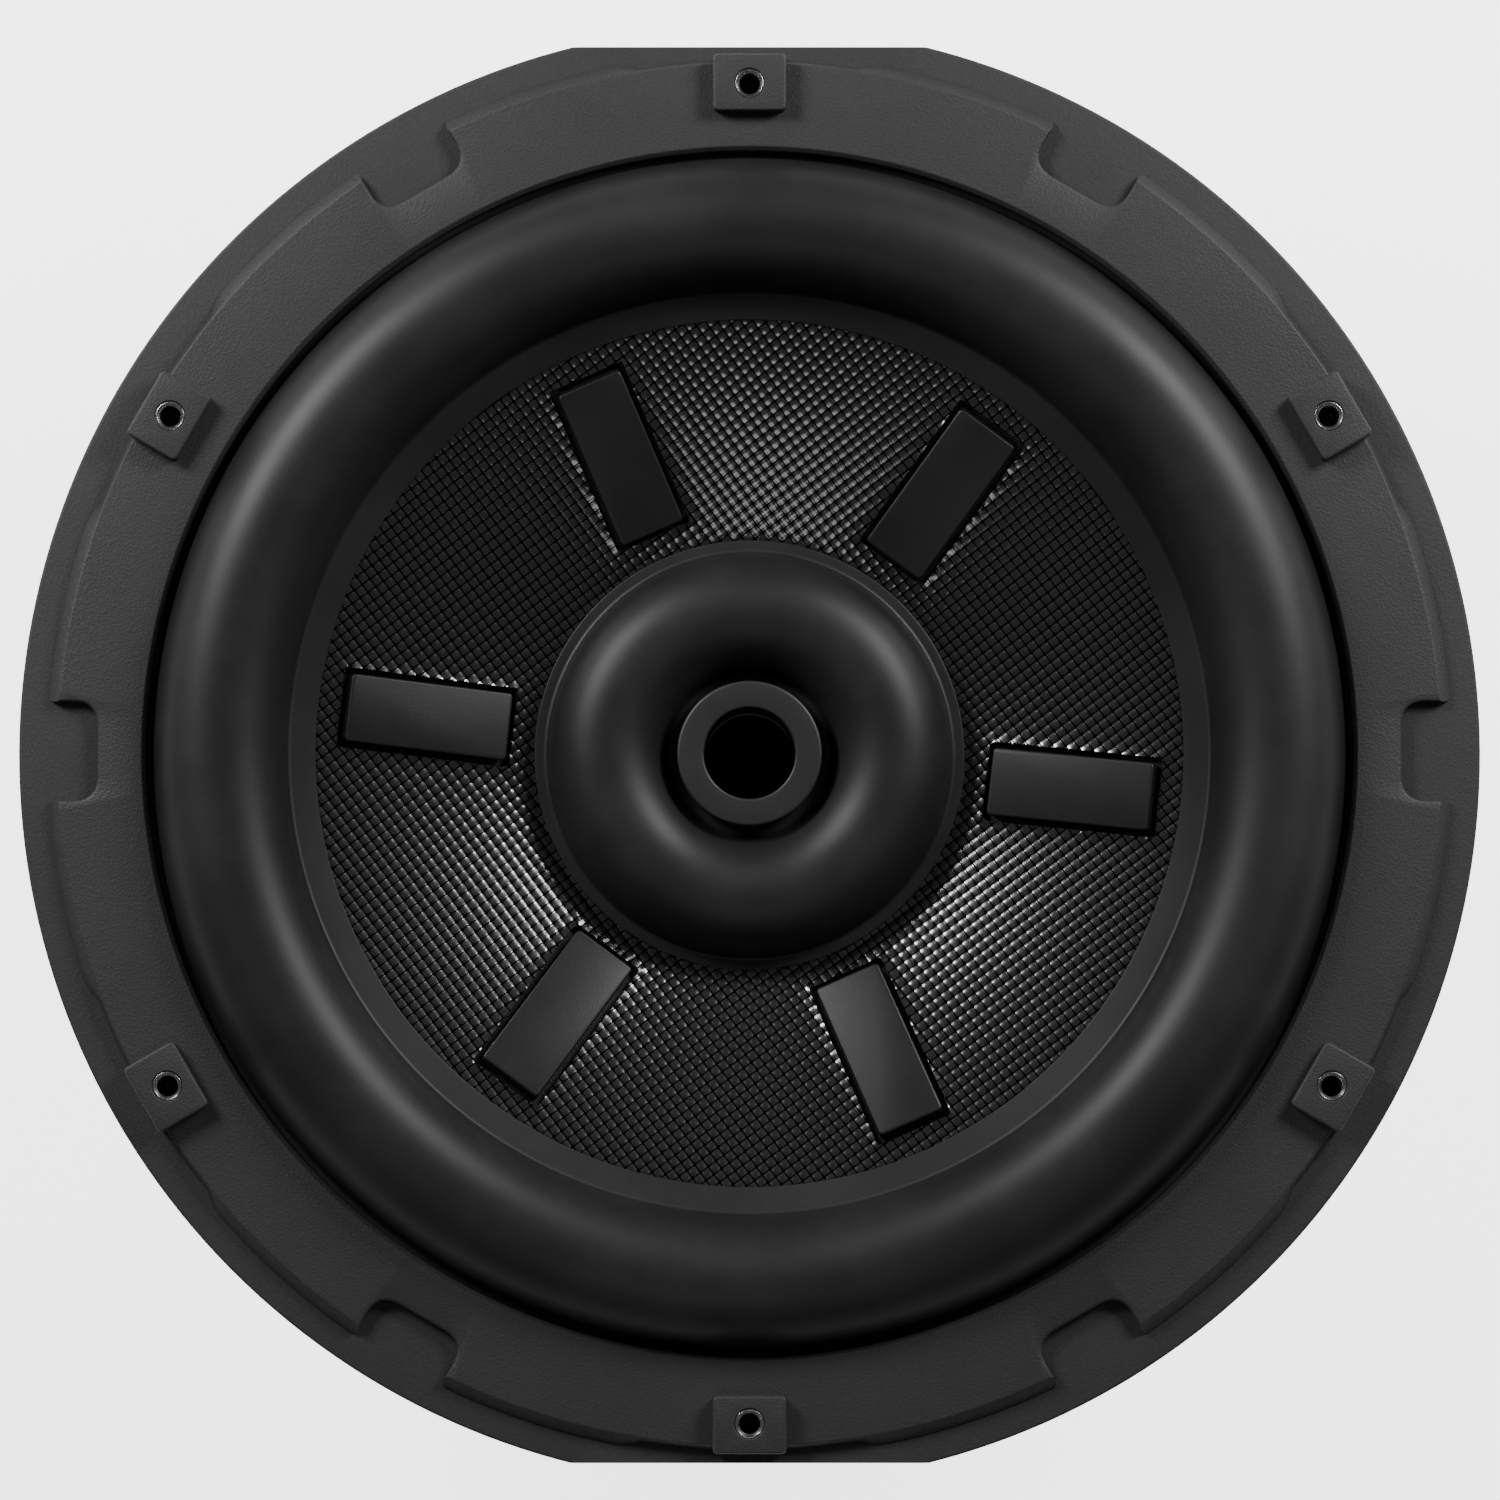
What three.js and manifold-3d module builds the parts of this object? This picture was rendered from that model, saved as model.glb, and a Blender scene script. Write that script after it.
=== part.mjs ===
// A shallow-mount car subwoofer: a driver with two half-roll suspensions, an annular woven cone between
// them and a fixed, vented centre post. It lies on its magnet with the cone facing +Z, in millimetres.
// The origin is the centre of the rear face of the motor, and Z is the speaker's own axis.

import * as THREE from "three";
import { mergeVertices } from "three/addons/utils/BufferGeometryUtils.js";
import Module from "manifold-3d";

const wasm = await Module();
wasm.setup();

// ---- Driving dimensions ----

const FLANGE_SEGMENTS = 36; // facets round the flange and the trim ring
const SEGMENTS = 36; // facets round the cone and the motor
const SMALL_SEGMENTS = 24; // facets round the inner suspension and the post
const HOLE_SEGMENTS = 12; // facets round a screw hole
const FIT_GAP = 0.3; // clearance between separate pieces that are fitted together

// Mounting flange and trim ring
const FLANGE_RADIUS = 157.5;
const FLAT_HALF_WIDTH = 152.7; // the flange is cut flat at the top and the bottom
const FLANGE_BOTTOM = 90; // the mounting plane, and so the mounting depth
const FLANGE_TOP = 96;
const SEAT_TOP = 94; // the rebate in the flange that takes the surround's outer lip
const SEAT_RADIUS = 134.6;
const FLANGE_INNER_RADIUS = 126;
const TRIM_INNER_RADIUS = 129.9;
const TRIM_PLATEAU_RADIUS = 148.9;
const TRIM_OUTER_RADIUS = 152.6;
const TRIM_TOP = 98.5;
const NOTCH_RADIUS = 10.7;
const NOTCH_CENTRE_RADIUS = 151;
const STATION_COUNT = 6; // screw bosses, notches and cone pads all come in sixes
const STATION_STEP = (2 * Math.PI) / STATION_COUNT;
const BOSS_CENTRE_RADIUS = 144.2;
const BOSS_TANGENTIAL = 15.8;
const BOSS_RADIAL = 12.3;
const BOSS_TOP = 102;
const SCREW_CIRCLE_RADIUS = 143.9;
const SCREW_HOLE_RADIUS = 2.25;
const BUSHING_RADIUS = 3.1;
const GASKET_THICKNESS = 1.5;

// Basket
const WALL_OUTER_RADIUS = 134;
const SHELF_TOP = 69;
const SHELF_BOTTOM = 66;
const WINDOW_HALF_ANGLE = THREE.MathUtils.degToRad(22);

// Cone, its suspensions and its pads
const CONE_EDGE_RADIUS = 100.5;
const SURROUND_LIP_RADIUS = 93.7;
const ROLL_INNER_RADIUS = 99.9;
const ROLL_OUTER_RADIUS = 128.2;
const SURROUND_THICKNESS = 1.2;
const CONE_EDGE_TOP = 93;
const CONE_NECK_TOP = 78;
const CONE_NECK_RADIUS = 47.5;
const CONE_THICKNESS = 1.4;
const CONE_CURVE = 3; // how far the dish steepens towards the neck
const INNER_LIP_RADIUS = 46.9;
const INNER_ROLL_OUTER = 43.8;
const INNER_ROLL_INNER = 18.2;
const PAD_CENTRE_RADIUS = 70.4;
const PAD_LENGTH = 36.3;
const PAD_WIDTH = 14.7;
const PAD_FIRST_ANGLE = THREE.MathUtils.degToRad(-6.4);
const PAD_PROUD = 2;
const POCKET_DEPTH = 2.5;
const POCKET_CLEARANCE = 1.3;
const POCKET_WALL = 1.2;

// Motor and centre post
const PLATE_RADIUS = 72;
const MAGNET_RADIUS = 75;
const MAGNET_BORE_RADIUS = 52;
const YOKE_BOTTOM = 2;
const YOKE_TOP = 14;
const MAGNET_THICKNESS = 15;
const TOP_PLATE_BOTTOM = YOKE_TOP + 2 * MAGNET_THICKNESS;
const TOP_PLATE_TOP = 54;
const POLE_RADIUS = 43.6;
const POLE_TOP = 58;
const GAP_OUTER_RADIUS = 47.4;
const VENT_RADIUS = 9.9;
const POST_RADIUS = 15.5;
const POST_SHOULDER_RADIUS = 17.5;
const CLAMP_RADIUS = 15.75;
const CLAMP_TOP = 88;
const BOOT_THICKNESS = 2.7;
const MOTOR_SCREW_CIRCLE = 66;

// Voice coil and spider
const FORMER_INNER_RADIUS = 44.5;
const FORMER_OUTER_RADIUS = 45;
const FORMER_BOTTOM = 35;
const WINDING_RADIUS = 46.4;
const WINDING_HALF_HEIGHT = 16;
const GAP_MIDDLE = (TOP_PLATE_BOTTOM + TOP_PLATE_TOP) / 2;
const SPIDER_MIDDLE = 70;
const SPIDER_OUTER_RADIUS = 105.5;
const SPIDER_THICKNESS = 1;
const SPIDER_WAVES = 4; // whole waves between the former and the shelf
const SPIDER_AMPLITUDE = 2;

// Push terminals, one on each side
const BLOCK_INNER = 100;
const BLOCK_OUTER = 122;
const BLOCK_HALF_WIDTH = 17.5;
const BLOCK_BOTTOM = 45.7;
const BLOCK_TOP = SHELF_BOTTOM - FIT_GAP;
const BUTTON_CENTRE = 112.5;
const BUTTON_OFFSET = 8.5;
const BUTTON_STEM = 9.6;
const BUTTON_FLANGE = 11;
const BUTTON_PROUD = 3.5;
const WIRE_HOLE = 5;
const WIRE_HOLE_HEIGHT = 62;
const CONTACT_RADIUS = 108.7;
const CONTACT_TOP = 76;

// ---- Finishes ----

const FINISHES = {
  coated: { color: 0x2b2b2c, roughness: 0.75, metalness: 0 },
  rubber: { color: 0x161617, roughness: 0.55, metalness: 0 },
  weave: { color: 0x26272a, roughness: 0.35, metalness: 0 },
  pad: { color: 0x1c1c1d, roughness: 0.8, metalness: 0 },
  steel: { color: 0x8c8f94, roughness: 0.4, metalness: 1 },
  zinc: { color: 0xb4b6ba, roughness: 0.35, metalness: 1 },
  aluminium: { color: 0xaeb1b5, roughness: 0.4, metalness: 1 },
  brass: { color: 0xb08d4a, roughness: 0.35, metalness: 1 },
  copper: { color: 0xa8603a, roughness: 0.4, metalness: 1 },
  ferrite: { color: 0x303133, roughness: 0.7, metalness: 0 },
  foam: { color: 0x1a1a1a, roughness: 0.95, metalness: 0 },
  cloth: { color: 0x8f7442, roughness: 0.9, metalness: 0 },
  plastic: { color: 0x1b1b1d, roughness: 0.5, metalness: 0 },
  red: { color: 0x8c1d1d, roughness: 0.45, metalness: 0 },
};

// ---- Geometry helpers ----

// A closed three.js geometry as a solid that can be joined and cut.
function solid(geometry) {
  const bare = geometry.clone();
  bare.deleteAttribute("normal");
  bare.deleteAttribute("uv");
  const merged = mergeVertices(bare, 1e-4);
  const vertProperties = new Float32Array(merged.attributes.position.array);
  const triVerts = new Uint32Array(merged.index.array);
  return new wasm.Manifold(new wasm.Mesh({ numProp: 3, vertProperties, triVerts }));
}

// The solid's surface as a three.js geometry.
function surface(body) {
  const mesh = body.getMesh();
  const geometry = new THREE.BufferGeometry();
  geometry.setAttribute("position", new THREE.BufferAttribute(mesh.vertProperties, 3));
  geometry.setIndex(new THREE.BufferAttribute(mesh.triVerts, 1));
  geometry.computeVertexNormals();
  return geometry;
}

// A named sub-part in one of the finishes.
function part(name, geometry, finish) {
  const mesh = new THREE.Mesh(geometry, new THREE.MeshStandardMaterial(FINISHES[finish]));
  mesh.name = name;
  return mesh;
}

// A closed outline of [radius, height] points turned about Z.
function turned(outline, segments = SEGMENTS) {
  const closed = [...outline, outline[0]];
  let area = 0;
  for (let i = 0; i < outline.length; i += 1) {
    area += closed[i][0] * closed[i + 1][1] - closed[i + 1][0] * closed[i][1];
  }
  const ordered = area > 0 ? closed : closed.reverse();
  const points = ordered.map(([radius, height]) => new THREE.Vector2(radius, height));
  return new THREE.LatheGeometry(points, segments).rotateX(Math.PI / 2);
}

// A ring with a rectangular section.
function ring(inner, outer, bottom, top, segments = SEGMENTS) {
  return turned([[inner, bottom], [outer, bottom], [outer, top], [inner, top]], segments);
}

// An upright round bar.
function bar(radius, bottom, top, segments = HOLE_SEGMENTS) {
  const geometry = new THREE.CylinderGeometry(radius, radius, top - bottom, segments);
  return geometry.rotateX(Math.PI / 2).translate(0, 0, (bottom + top) / 2);
}

// A box given by its lowest and highest corners.
function block(low, high) {
  const [width, depth, height] = high.map((value, axis) => value - low[axis]);
  const geometry = new THREE.BoxGeometry(width, depth, height);
  return geometry.translate(low[0] + width / 2, low[1] + depth / 2, low[2] + height / 2);
}

// A block bent round Z: an annular sector centred on an angle.
function sector(inner, outer, halfAngle, bottom, top, angle) {
  const shape = new THREE.Shape();
  shape.absarc(0, 0, outer, -halfAngle, halfAngle, false);
  shape.absarc(0, 0, inner, halfAngle, -halfAngle, true);
  const settings = { depth: top - bottom, bevelEnabled: false, curveSegments: 6 };
  return new THREE.ExtrudeGeometry(shape, settings).translate(0, 0, bottom).rotateZ(angle);
}

// Points along a circular arc in the [radius, height] plane, angles in degrees.
function arc(centreRadius, centreHeight, radius, from, to, steps) {
  return Array.from({ length: steps + 1 }, (_, i) => {
    const angle = THREE.MathUtils.degToRad(from + ((to - from) * i) / steps);
    return [centreRadius + radius * Math.cos(angle), centreHeight + radius * Math.sin(angle)];
  });
}

// The angle of a station, in steps of sixty degrees from a first angle.
function station(index, first = 0) {
  return first + index * STATION_STEP;
}

// Cuts a list of geometries out of a solid.
function cutAll(body, cutters) {
  return cutters.reduce((rest, cutter) => rest.subtract(solid(cutter)), body);
}

// Joins a list of geometries to a solid.
function joinAll(body, additions) {
  return additions.reduce((rest, addition) => rest.add(solid(addition)), body);
}

// One geometry for every station.
function atStations(make, first = 0) {
  return Array.from({ length: STATION_COUNT }, (_, i) => make(station(i, first), i));
}

const BOSS_FIRST_ANGLE = STATION_STEP / 2;

// ---- Basket, trim ring and their small parts ----

// The cast frame: flange with two flats, tapered wall, spider shelf, six spokes and the motor seat.
function basket() {
  const section = [
    [FLANGE_RADIUS, FLANGE_BOTTOM],
    [FLANGE_RADIUS, FLANGE_TOP],
    [SEAT_RADIUS + FIT_GAP, FLANGE_TOP],
    [SEAT_RADIUS + FIT_GAP, SEAT_TOP],
    [FLANGE_INNER_RADIUS, SEAT_TOP],
    [FLANGE_INNER_RADIUS, SEAT_TOP - 3],
    [130, 87],
    [130, 84],
    [111, SHELF_TOP],
    [96, SHELF_TOP],
    [76, 58],
    [56, 58],
    [56, TOP_PLATE_TOP],
    [77, TOP_PLATE_TOP],
    [98, SHELF_BOTTOM],
    [113.5, SHELF_BOTTOM],
    [133, 82],
    [WALL_OUTER_RADIUS, FLANGE_BOTTOM],
  ];
  const reach = 2 * FLANGE_RADIUS;
  const flats = [1, -1].map((side) => {
    const near = side * FLAT_HALF_WIDTH;
    const far = side * reach;
    return block([-reach, Math.min(near, far), 0], [reach, Math.max(near, far), reach]);
  });
  const spokeHalfAngle = STATION_STEP / 2 - WINDOW_HALF_ANGLE;
  const ribs = atStations((angle) => sector(88, 111, spokeHalfAngle / 5, 57, 64.5, angle), BOSS_FIRST_ANGLE);
  const lowerWindows = atStations((angle) => sector(80, 95, WINDOW_HALF_ANGLE, 50, 72, angle));
  const upperWindows = [1, 2, 4, 5].map((i) => sector(108, 140, WINDOW_HALF_ANGLE, 70, 86, station(i)));
  const screwHoles = atStations((angle) => {
    return bar(BUSHING_RADIUS + 0.1, 80, 100).translate(SCREW_CIRCLE_RADIUS, 0, 0).rotateZ(angle);
  }, BOSS_FIRST_ANGLE);
  const motorHoles = atStations((angle) => {
    return bar(2.7, 50, 60).translate(MOTOR_SCREW_CIRCLE, 0, 0).rotateZ(angle);
  }, BOSS_FIRST_ANGLE);
  const contactSlots = terminalPlaces().map(({ side, offset }) => {
    return contactSlot(offset).rotateZ(side);
  });
  const shell = joinAll(solid(turned(section, FLANGE_SEGMENTS)), ribs);
  const cuts = [...flats, ...lowerWindows, ...upperWindows, ...screwHoles, ...motorHoles, ...contactSlots];
  return part("basket", surface(cutAll(shell, cuts)), "coated");
}

// The ring on the flange: a raised plateau with a bevelled edge, six square screw bosses and six notches.
function trimRing() {
  const section = [
    [TRIM_INNER_RADIUS, SEAT_TOP + SURROUND_THICKNESS + FIT_GAP],
    [SEAT_RADIUS, SEAT_TOP + SURROUND_THICKNESS + FIT_GAP],
    [SEAT_RADIUS, FLANGE_TOP],
    [TRIM_OUTER_RADIUS, FLANGE_TOP],
    [TRIM_PLATEAU_RADIUS, TRIM_TOP],
    [TRIM_INNER_RADIUS + 0.8, TRIM_TOP + 0.3],
    [TRIM_INNER_RADIUS, TRIM_TOP - 0.5],
  ];
  const halfRadial = BOSS_RADIAL / 2;
  const halfTangential = BOSS_TANGENTIAL / 2;
  const bosses = atStations((angle) => {
    const low = [BOSS_CENTRE_RADIUS - halfRadial, -halfTangential, FLANGE_TOP + 0.5];
    const high = [BOSS_CENTRE_RADIUS + halfRadial, halfTangential, BOSS_TOP];
    return block(low, high).rotateZ(angle);
  }, BOSS_FIRST_ANGLE);
  const notches = atStations((angle) => {
    const round = bar(NOTCH_RADIUS, FLANGE_TOP - 1, BOSS_TOP, 24).translate(NOTCH_CENTRE_RADIUS, 0, 0);
    return round.rotateZ(angle);
  });
  const screwHoles = atStations((angle) => {
    return bar(BUSHING_RADIUS + 0.1, 90, 104).translate(SCREW_CIRCLE_RADIUS, 0, 0).rotateZ(angle);
  }, BOSS_FIRST_ANGLE);
  const body = joinAll(solid(turned(section, FLANGE_SEGMENTS)), bosses);
  return part("trim_ring", surface(cutAll(body, [...notches, ...screwHoles])), "coated");
}

// A metal sleeve that carries one mounting screw through the boss and the flange.
function screwBushing(index) {
  const chamfer = 0.5;
  const outline = [
    [SCREW_HOLE_RADIUS, FLANGE_BOTTOM],
    [BUSHING_RADIUS, FLANGE_BOTTOM],
    [BUSHING_RADIUS, BOSS_TOP - 0.2],
    [SCREW_HOLE_RADIUS + chamfer, BOSS_TOP - 0.2],
    [SCREW_HOLE_RADIUS, BOSS_TOP - 0.2 - chamfer],
  ];
  const geometry = turned(outline, HOLE_SEGMENTS).translate(SCREW_CIRCLE_RADIUS, 0, 0);
  return part(`screw_bushing_${index + 1}`, geometry.rotateZ(station(index, BOSS_FIRST_ANGLE)), "zinc");
}

// The foam ring under the flange, left whole: each mounting screw pierces it.
function mountingGasket() {
  return part("mounting_gasket", ring(137, 150, FLANGE_BOTTOM - GASKET_THICKNESS, FLANGE_BOTTOM), "foam");
}

// ---- Moving cone ----

// Height of the cone's upper face at a radius: a shallow dish that steepens towards the neck.
function coneTop(radius) {
  const run = (SURROUND_LIP_RADIUS - radius) / (SURROUND_LIP_RADIUS - CONE_NECK_RADIUS);
  const t = THREE.MathUtils.clamp(run, 0, 1);
  return CONE_EDGE_TOP - (CONE_EDGE_TOP - CONE_NECK_TOP - CONE_CURVE) * t - CONE_CURVE * t * t;
}

// The tilt of the cone at a pad.
function padTilt() {
  const reach = PAD_LENGTH / 2;
  const rise = coneTop(PAD_CENTRE_RADIUS + reach) - coneTop(PAD_CENTRE_RADIUS - reach);
  return Math.atan2(rise, PAD_LENGTH);
}

// A block laid on the cone at one pad station, between two heights measured from the cone's face.
function onCone(length, width, low, high, angle) {
  const lying = block([-length / 2, -width / 2, low], [length / 2, width / 2, high]);
  const placed = lying.rotateY(-padTilt()).translate(PAD_CENTRE_RADIUS, 0, coneTop(PAD_CENTRE_RADIUS));
  return placed.rotateZ(angle);
}

// The woven dish with its glue lands and the six pockets that hold the pads.
function cone() {
  const steps = 6;
  const upper = Array.from({ length: steps + 1 }, (_, i) => {
    const radius = THREE.MathUtils.lerp(SURROUND_LIP_RADIUS, CONE_NECK_RADIUS, i / steps);
    return [radius, coneTop(radius)];
  });
  const lower = upper.map(([radius, height]) => [radius, height - CONE_THICKNESS]).reverse();
  const neckInner = FORMER_OUTER_RADIUS + 0.1;
  const section = [
    [CONE_EDGE_RADIUS, CONE_EDGE_TOP - CONE_THICKNESS],
    [CONE_EDGE_RADIUS, CONE_EDGE_TOP],
    ...upper,
    [neckInner, CONE_NECK_TOP],
    [neckInner, CONE_NECK_TOP - CONE_THICKNESS],
    ...lower,
  ];
  const pocketLength = PAD_LENGTH + 2 * POCKET_CLEARANCE;
  const pocketWidth = PAD_WIDTH + 2 * POCKET_CLEARANCE;
  const trays = atStations((angle) => {
    const low = -POCKET_DEPTH - POCKET_WALL;
    return onCone(pocketLength + 2 * POCKET_WALL, pocketWidth + 2 * POCKET_WALL, low, -0.4, angle);
  }, PAD_FIRST_ANGLE);
  const pockets = atStations((angle) => {
    return onCone(pocketLength, pocketWidth, -POCKET_DEPTH, 5, angle);
  }, PAD_FIRST_ANGLE);
  const body = joinAll(solid(turned(section)), trays);
  return part("cone", surface(cutAll(body, pockets)), "weave");
}

// One flat-topped damping pad, standing proud of its pocket.
function conePad(index) {
  const low = -POCKET_DEPTH + FIT_GAP;
  const geometry = onCone(PAD_LENGTH, PAD_WIDTH, low, PAD_PROUD, station(index, PAD_FIRST_ANGLE));
  return part(`cone_pad_${index + 1}`, geometry, "pad");
}

// A half roll between two glue lips: the outline of its rubber, as an outer and an inner skin.
function halfRoll({ inner, outer, innerLip, outerLip, innerFoot, outerFoot, thickness, steps, segments }) {
  const middle = (inner + outer) / 2;
  const radius = (outer - inner) / 2;
  const base = Math.max(innerFoot, outerFoot);
  const outside = arc(middle, base + thickness, radius, 180, 0, steps);
  const inside = arc(middle, base + thickness, radius - thickness, 0, 180, steps);
  const outline = [
    [innerLip, innerFoot],
    [innerLip, innerFoot + thickness],
    [inner, innerFoot + thickness],
    ...outside,
    [outerLip, outerFoot + thickness],
    [outerLip, outerFoot],
    [outer - thickness, outerFoot],
    ...inside,
    [inner + thickness, innerFoot],
  ];
  const distinct = outline.filter(([r, z], i) => {
    const [pr, pz] = outline[(i + outline.length - 1) % outline.length];
    return Math.hypot(r - pr, z - pz) > 1e-3;
  });
  return turned(distinct, segments);
}

// The outer surround, from the cone's edge to the flange.
function surround() {
  const geometry = halfRoll({
    inner: ROLL_INNER_RADIUS,
    outer: ROLL_OUTER_RADIUS,
    innerLip: SURROUND_LIP_RADIUS,
    outerLip: 134,
    innerFoot: CONE_EDGE_TOP,
    outerFoot: SEAT_TOP,
    thickness: SURROUND_THICKNESS,
    steps: 8,
    segments: SEGMENTS,
  });
  return part("surround", geometry, "rubber");
}

// The inner roll, from the cone's neck to the centre post.
function innerRoll() {
  const geometry = halfRoll({
    inner: INNER_ROLL_INNER,
    outer: INNER_ROLL_OUTER,
    innerLip: 12.8,
    outerLip: INNER_LIP_RADIUS,
    innerFoot: CONE_NECK_TOP,
    outerFoot: CONE_NECK_TOP,
    thickness: SURROUND_THICKNESS,
    steps: 8,
    segments: SMALL_SEGMENTS,
  });
  return part("inner_roll", geometry, "rubber");
}

// The voice-coil former: a thin tube that joins the cone's neck to the winding.
function voiceCoilFormer() {
  const top = CONE_NECK_TOP - 0.1;
  return part("voice_coil_former", ring(FORMER_INNER_RADIUS, FORMER_OUTER_RADIUS, FORMER_BOTTOM, top), "aluminium");
}

// The winding on the lower end of the former, centred on the top plate.
function voiceCoilWinding() {
  const low = GAP_MIDDLE - WINDING_HALF_HEIGHT;
  const high = GAP_MIDDLE + WINDING_HALF_HEIGHT;
  const geometry = turned([
    [FORMER_OUTER_RADIUS + 0.05, Math.max(low, FORMER_BOTTOM)],
    [WINDING_RADIUS, Math.max(low, FORMER_BOTTOM)],
    [WINDING_RADIUS, high],
    [FORMER_OUTER_RADIUS + 0.05, high],
  ]);
  return part("voice_coil_winding", geometry, "copper");
}

// The corrugated spider between the former and the basket's shelf.
function spider() {
  const inner = FORMER_OUTER_RADIUS + 0.1;
  const start = 50;
  const end = 93;
  const creases = SPIDER_WAVES * 2;
  const wave = Array.from({ length: creases }, (_, i) => {
    const height = SPIDER_MIDDLE + SPIDER_AMPLITUDE * (i % 2 ? -1 : 1);
    return [THREE.MathUtils.lerp(start, end, (i + 0.5) / creases), height];
  });
  const land = [[end + 2, SPIDER_MIDDLE], [SPIDER_OUTER_RADIUS, SPIDER_MIDDLE]];
  const line = [[inner, SPIDER_MIDDLE], [start - 1, SPIDER_MIDDLE], ...wave, ...land];
  const over = line.map(([radius, height]) => [radius, height + SPIDER_THICKNESS / 2]);
  const under = line.map(([radius, height]) => [radius, height - SPIDER_THICKNESS / 2]).reverse();
  return part("spider", turned([...over, ...under]), "cloth");
}

// The ring that lifts the spider's edge off the shelf and carries its glue.
function spiderRing() {
  const top = SPIDER_MIDDLE - SPIDER_THICKNESS / 2;
  return part("spider_ring", ring(98, SPIDER_OUTER_RADIUS, SHELF_TOP, top), "plastic");
}

// ---- Motor ----

// The yoke: back plate and pole in one forging, bored for the vent and recessed for the post.
function yoke() {
  const outline = [
    [VENT_RADIUS, YOKE_BOTTOM],
    [PLATE_RADIUS - 2, YOKE_BOTTOM],
    [PLATE_RADIUS, YOKE_BOTTOM + 2],
    [PLATE_RADIUS, YOKE_TOP],
    [POLE_RADIUS, YOKE_TOP],
    [POLE_RADIUS, POLE_TOP],
    [POST_RADIUS + 0.2, POLE_TOP],
    [POST_RADIUS + 0.2, POLE_TOP - 8],
    [VENT_RADIUS, POLE_TOP - 8],
  ];
  return part("yoke", turned(outline), "zinc");
}

// One of the two ferrite rings between the plates.
function magnet(name, bottom) {
  return part(name, ring(MAGNET_BORE_RADIUS, MAGNET_RADIUS, bottom, bottom + MAGNET_THICKNESS), "ferrite");
}

// The front plate that closes the magnetic gap, with blind holes for the motor screws.
function topPlate() {
  const body = solid(ring(GAP_OUTER_RADIUS, PLATE_RADIUS, TOP_PLATE_BOTTOM, TOP_PLATE_TOP));
  const holes = atStations((angle) => {
    return bar(2.6, 47, 60).translate(MOTOR_SCREW_CIRCLE, 0, 0).rotateZ(angle);
  }, BOSS_FIRST_ANGLE);
  return part("top_plate", surface(cutAll(body, holes)), "zinc");
}

// The aluminium ring round the inside of the magnets that steadies the field.
function shortingRing() {
  return part("shorting_ring", ring(48, MAGNET_BORE_RADIUS - FIT_GAP, YOKE_TOP, YOKE_TOP + 16), "aluminium");
}

// The rubber boot round the magnets, with a lip under the back plate's rim.
function magnetBoot() {
  const inner = MAGNET_RADIUS + FIT_GAP;
  const outer = inner + BOOT_THICKNESS;
  const outline = [
    [66, 0],
    [outer - 2, 0],
    [outer, 2],
    [outer, TOP_PLATE_BOTTOM + 4],
    [PLATE_RADIUS + FIT_GAP, TOP_PLATE_BOTTOM + 4],
    [PLATE_RADIUS + FIT_GAP, TOP_PLATE_BOTTOM + FIT_GAP],
    [inner, TOP_PLATE_BOTTOM + FIT_GAP],
    [inner, YOKE_BOTTOM - FIT_GAP],
    [66, YOKE_BOTTOM - FIT_GAP],
  ];
  return part("magnet_boot", turned(outline), "rubber");
}

// A screw that holds the basket's seat to the top plate.
function motorScrew(index) {
  const headBottom = 58;
  const outline = [
    [0, 48],
    [2.4, 48],
    [2.4, headBottom],
    [4.3, headBottom],
    [4.3, headBottom + 1.6],
    [3.4, headBottom + 2.6],
    [0, headBottom + 2.6],
  ];
  const geometry = turnedOnAxis(outline, HOLE_SEGMENTS).translate(MOTOR_SCREW_CIRCLE, 0, 0);
  return part(`motor_screw_${index + 1}`, geometry.rotateZ(station(index, BOSS_FIRST_ANGLE)), "steel");
}

// An outline that starts and ends on the axis, turned about Z.
function turnedOnAxis(outline, segments) {
  const points = outline.map(([radius, height]) => new THREE.Vector2(radius, height));
  return new THREE.LatheGeometry(points, segments).rotateX(Math.PI / 2);
}

// The fixed hollow post that carries the inner roll on its shoulder.
function centrePost() {
  const bottom = POLE_TOP - 8;
  const outline = [
    [12.6, bottom],
    [POST_RADIUS, bottom],
    [POST_RADIUS, CONE_NECK_TOP - 4],
    [POST_SHOULDER_RADIUS, CONE_NECK_TOP - 3],
    [POST_SHOULDER_RADIUS, CONE_NECK_TOP],
    [12.6, CONE_NECK_TOP],
  ];
  return part("centre_post", turned(outline, SMALL_SEGMENTS), "aluminium");
}

// The ring screwed into the post, which clamps the inner roll and shows its rounded rim.
function postClampRing() {
  const bottom = CONE_NECK_TOP + SURROUND_THICKNESS;
  const round = 1.5;
  const outline = [
    [VENT_RADIUS, 62],
    [12.3, 62],
    [12.3, bottom],
    [CLAMP_RADIUS, bottom],
    ...arc(CLAMP_RADIUS - round, CLAMP_TOP - round, round, 0, 90, 3),
    ...arc(VENT_RADIUS + round, CLAMP_TOP - round, round, 90, 180, 3),
  ];
  return part("post_clamp_ring", turned(outline, SMALL_SEGMENTS), "plastic");
}

// The screen that keeps dirt out of the vent at the back plate.
function ventScreen() {
  const body = solid(bar(VENT_RADIUS - FIT_GAP, YOKE_BOTTOM + 1, YOKE_BOTTOM + 2, SMALL_SEGMENTS));
  const holes = atStations((angle) => {
    return bar(1.9, 0, 8).translate(5.6, 0, 0).rotateZ(angle);
  });
  return part("vent_screen", surface(cutAll(body, [...holes, bar(1.9, 0, 8)])), "steel");
}

// ---- Push terminals ----

// Where each terminal way is: which side of the basket, and how far along the block.
function terminalPlaces() {
  const sides = [["a", 0], ["b", Math.PI]];
  const ways = [[1, BUTTON_OFFSET], [2, -BUTTON_OFFSET]];
  return sides.flatMap(([letter, side]) => ways.map(([way, offset]) => ({ letter, side, way, offset })));
}

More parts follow.
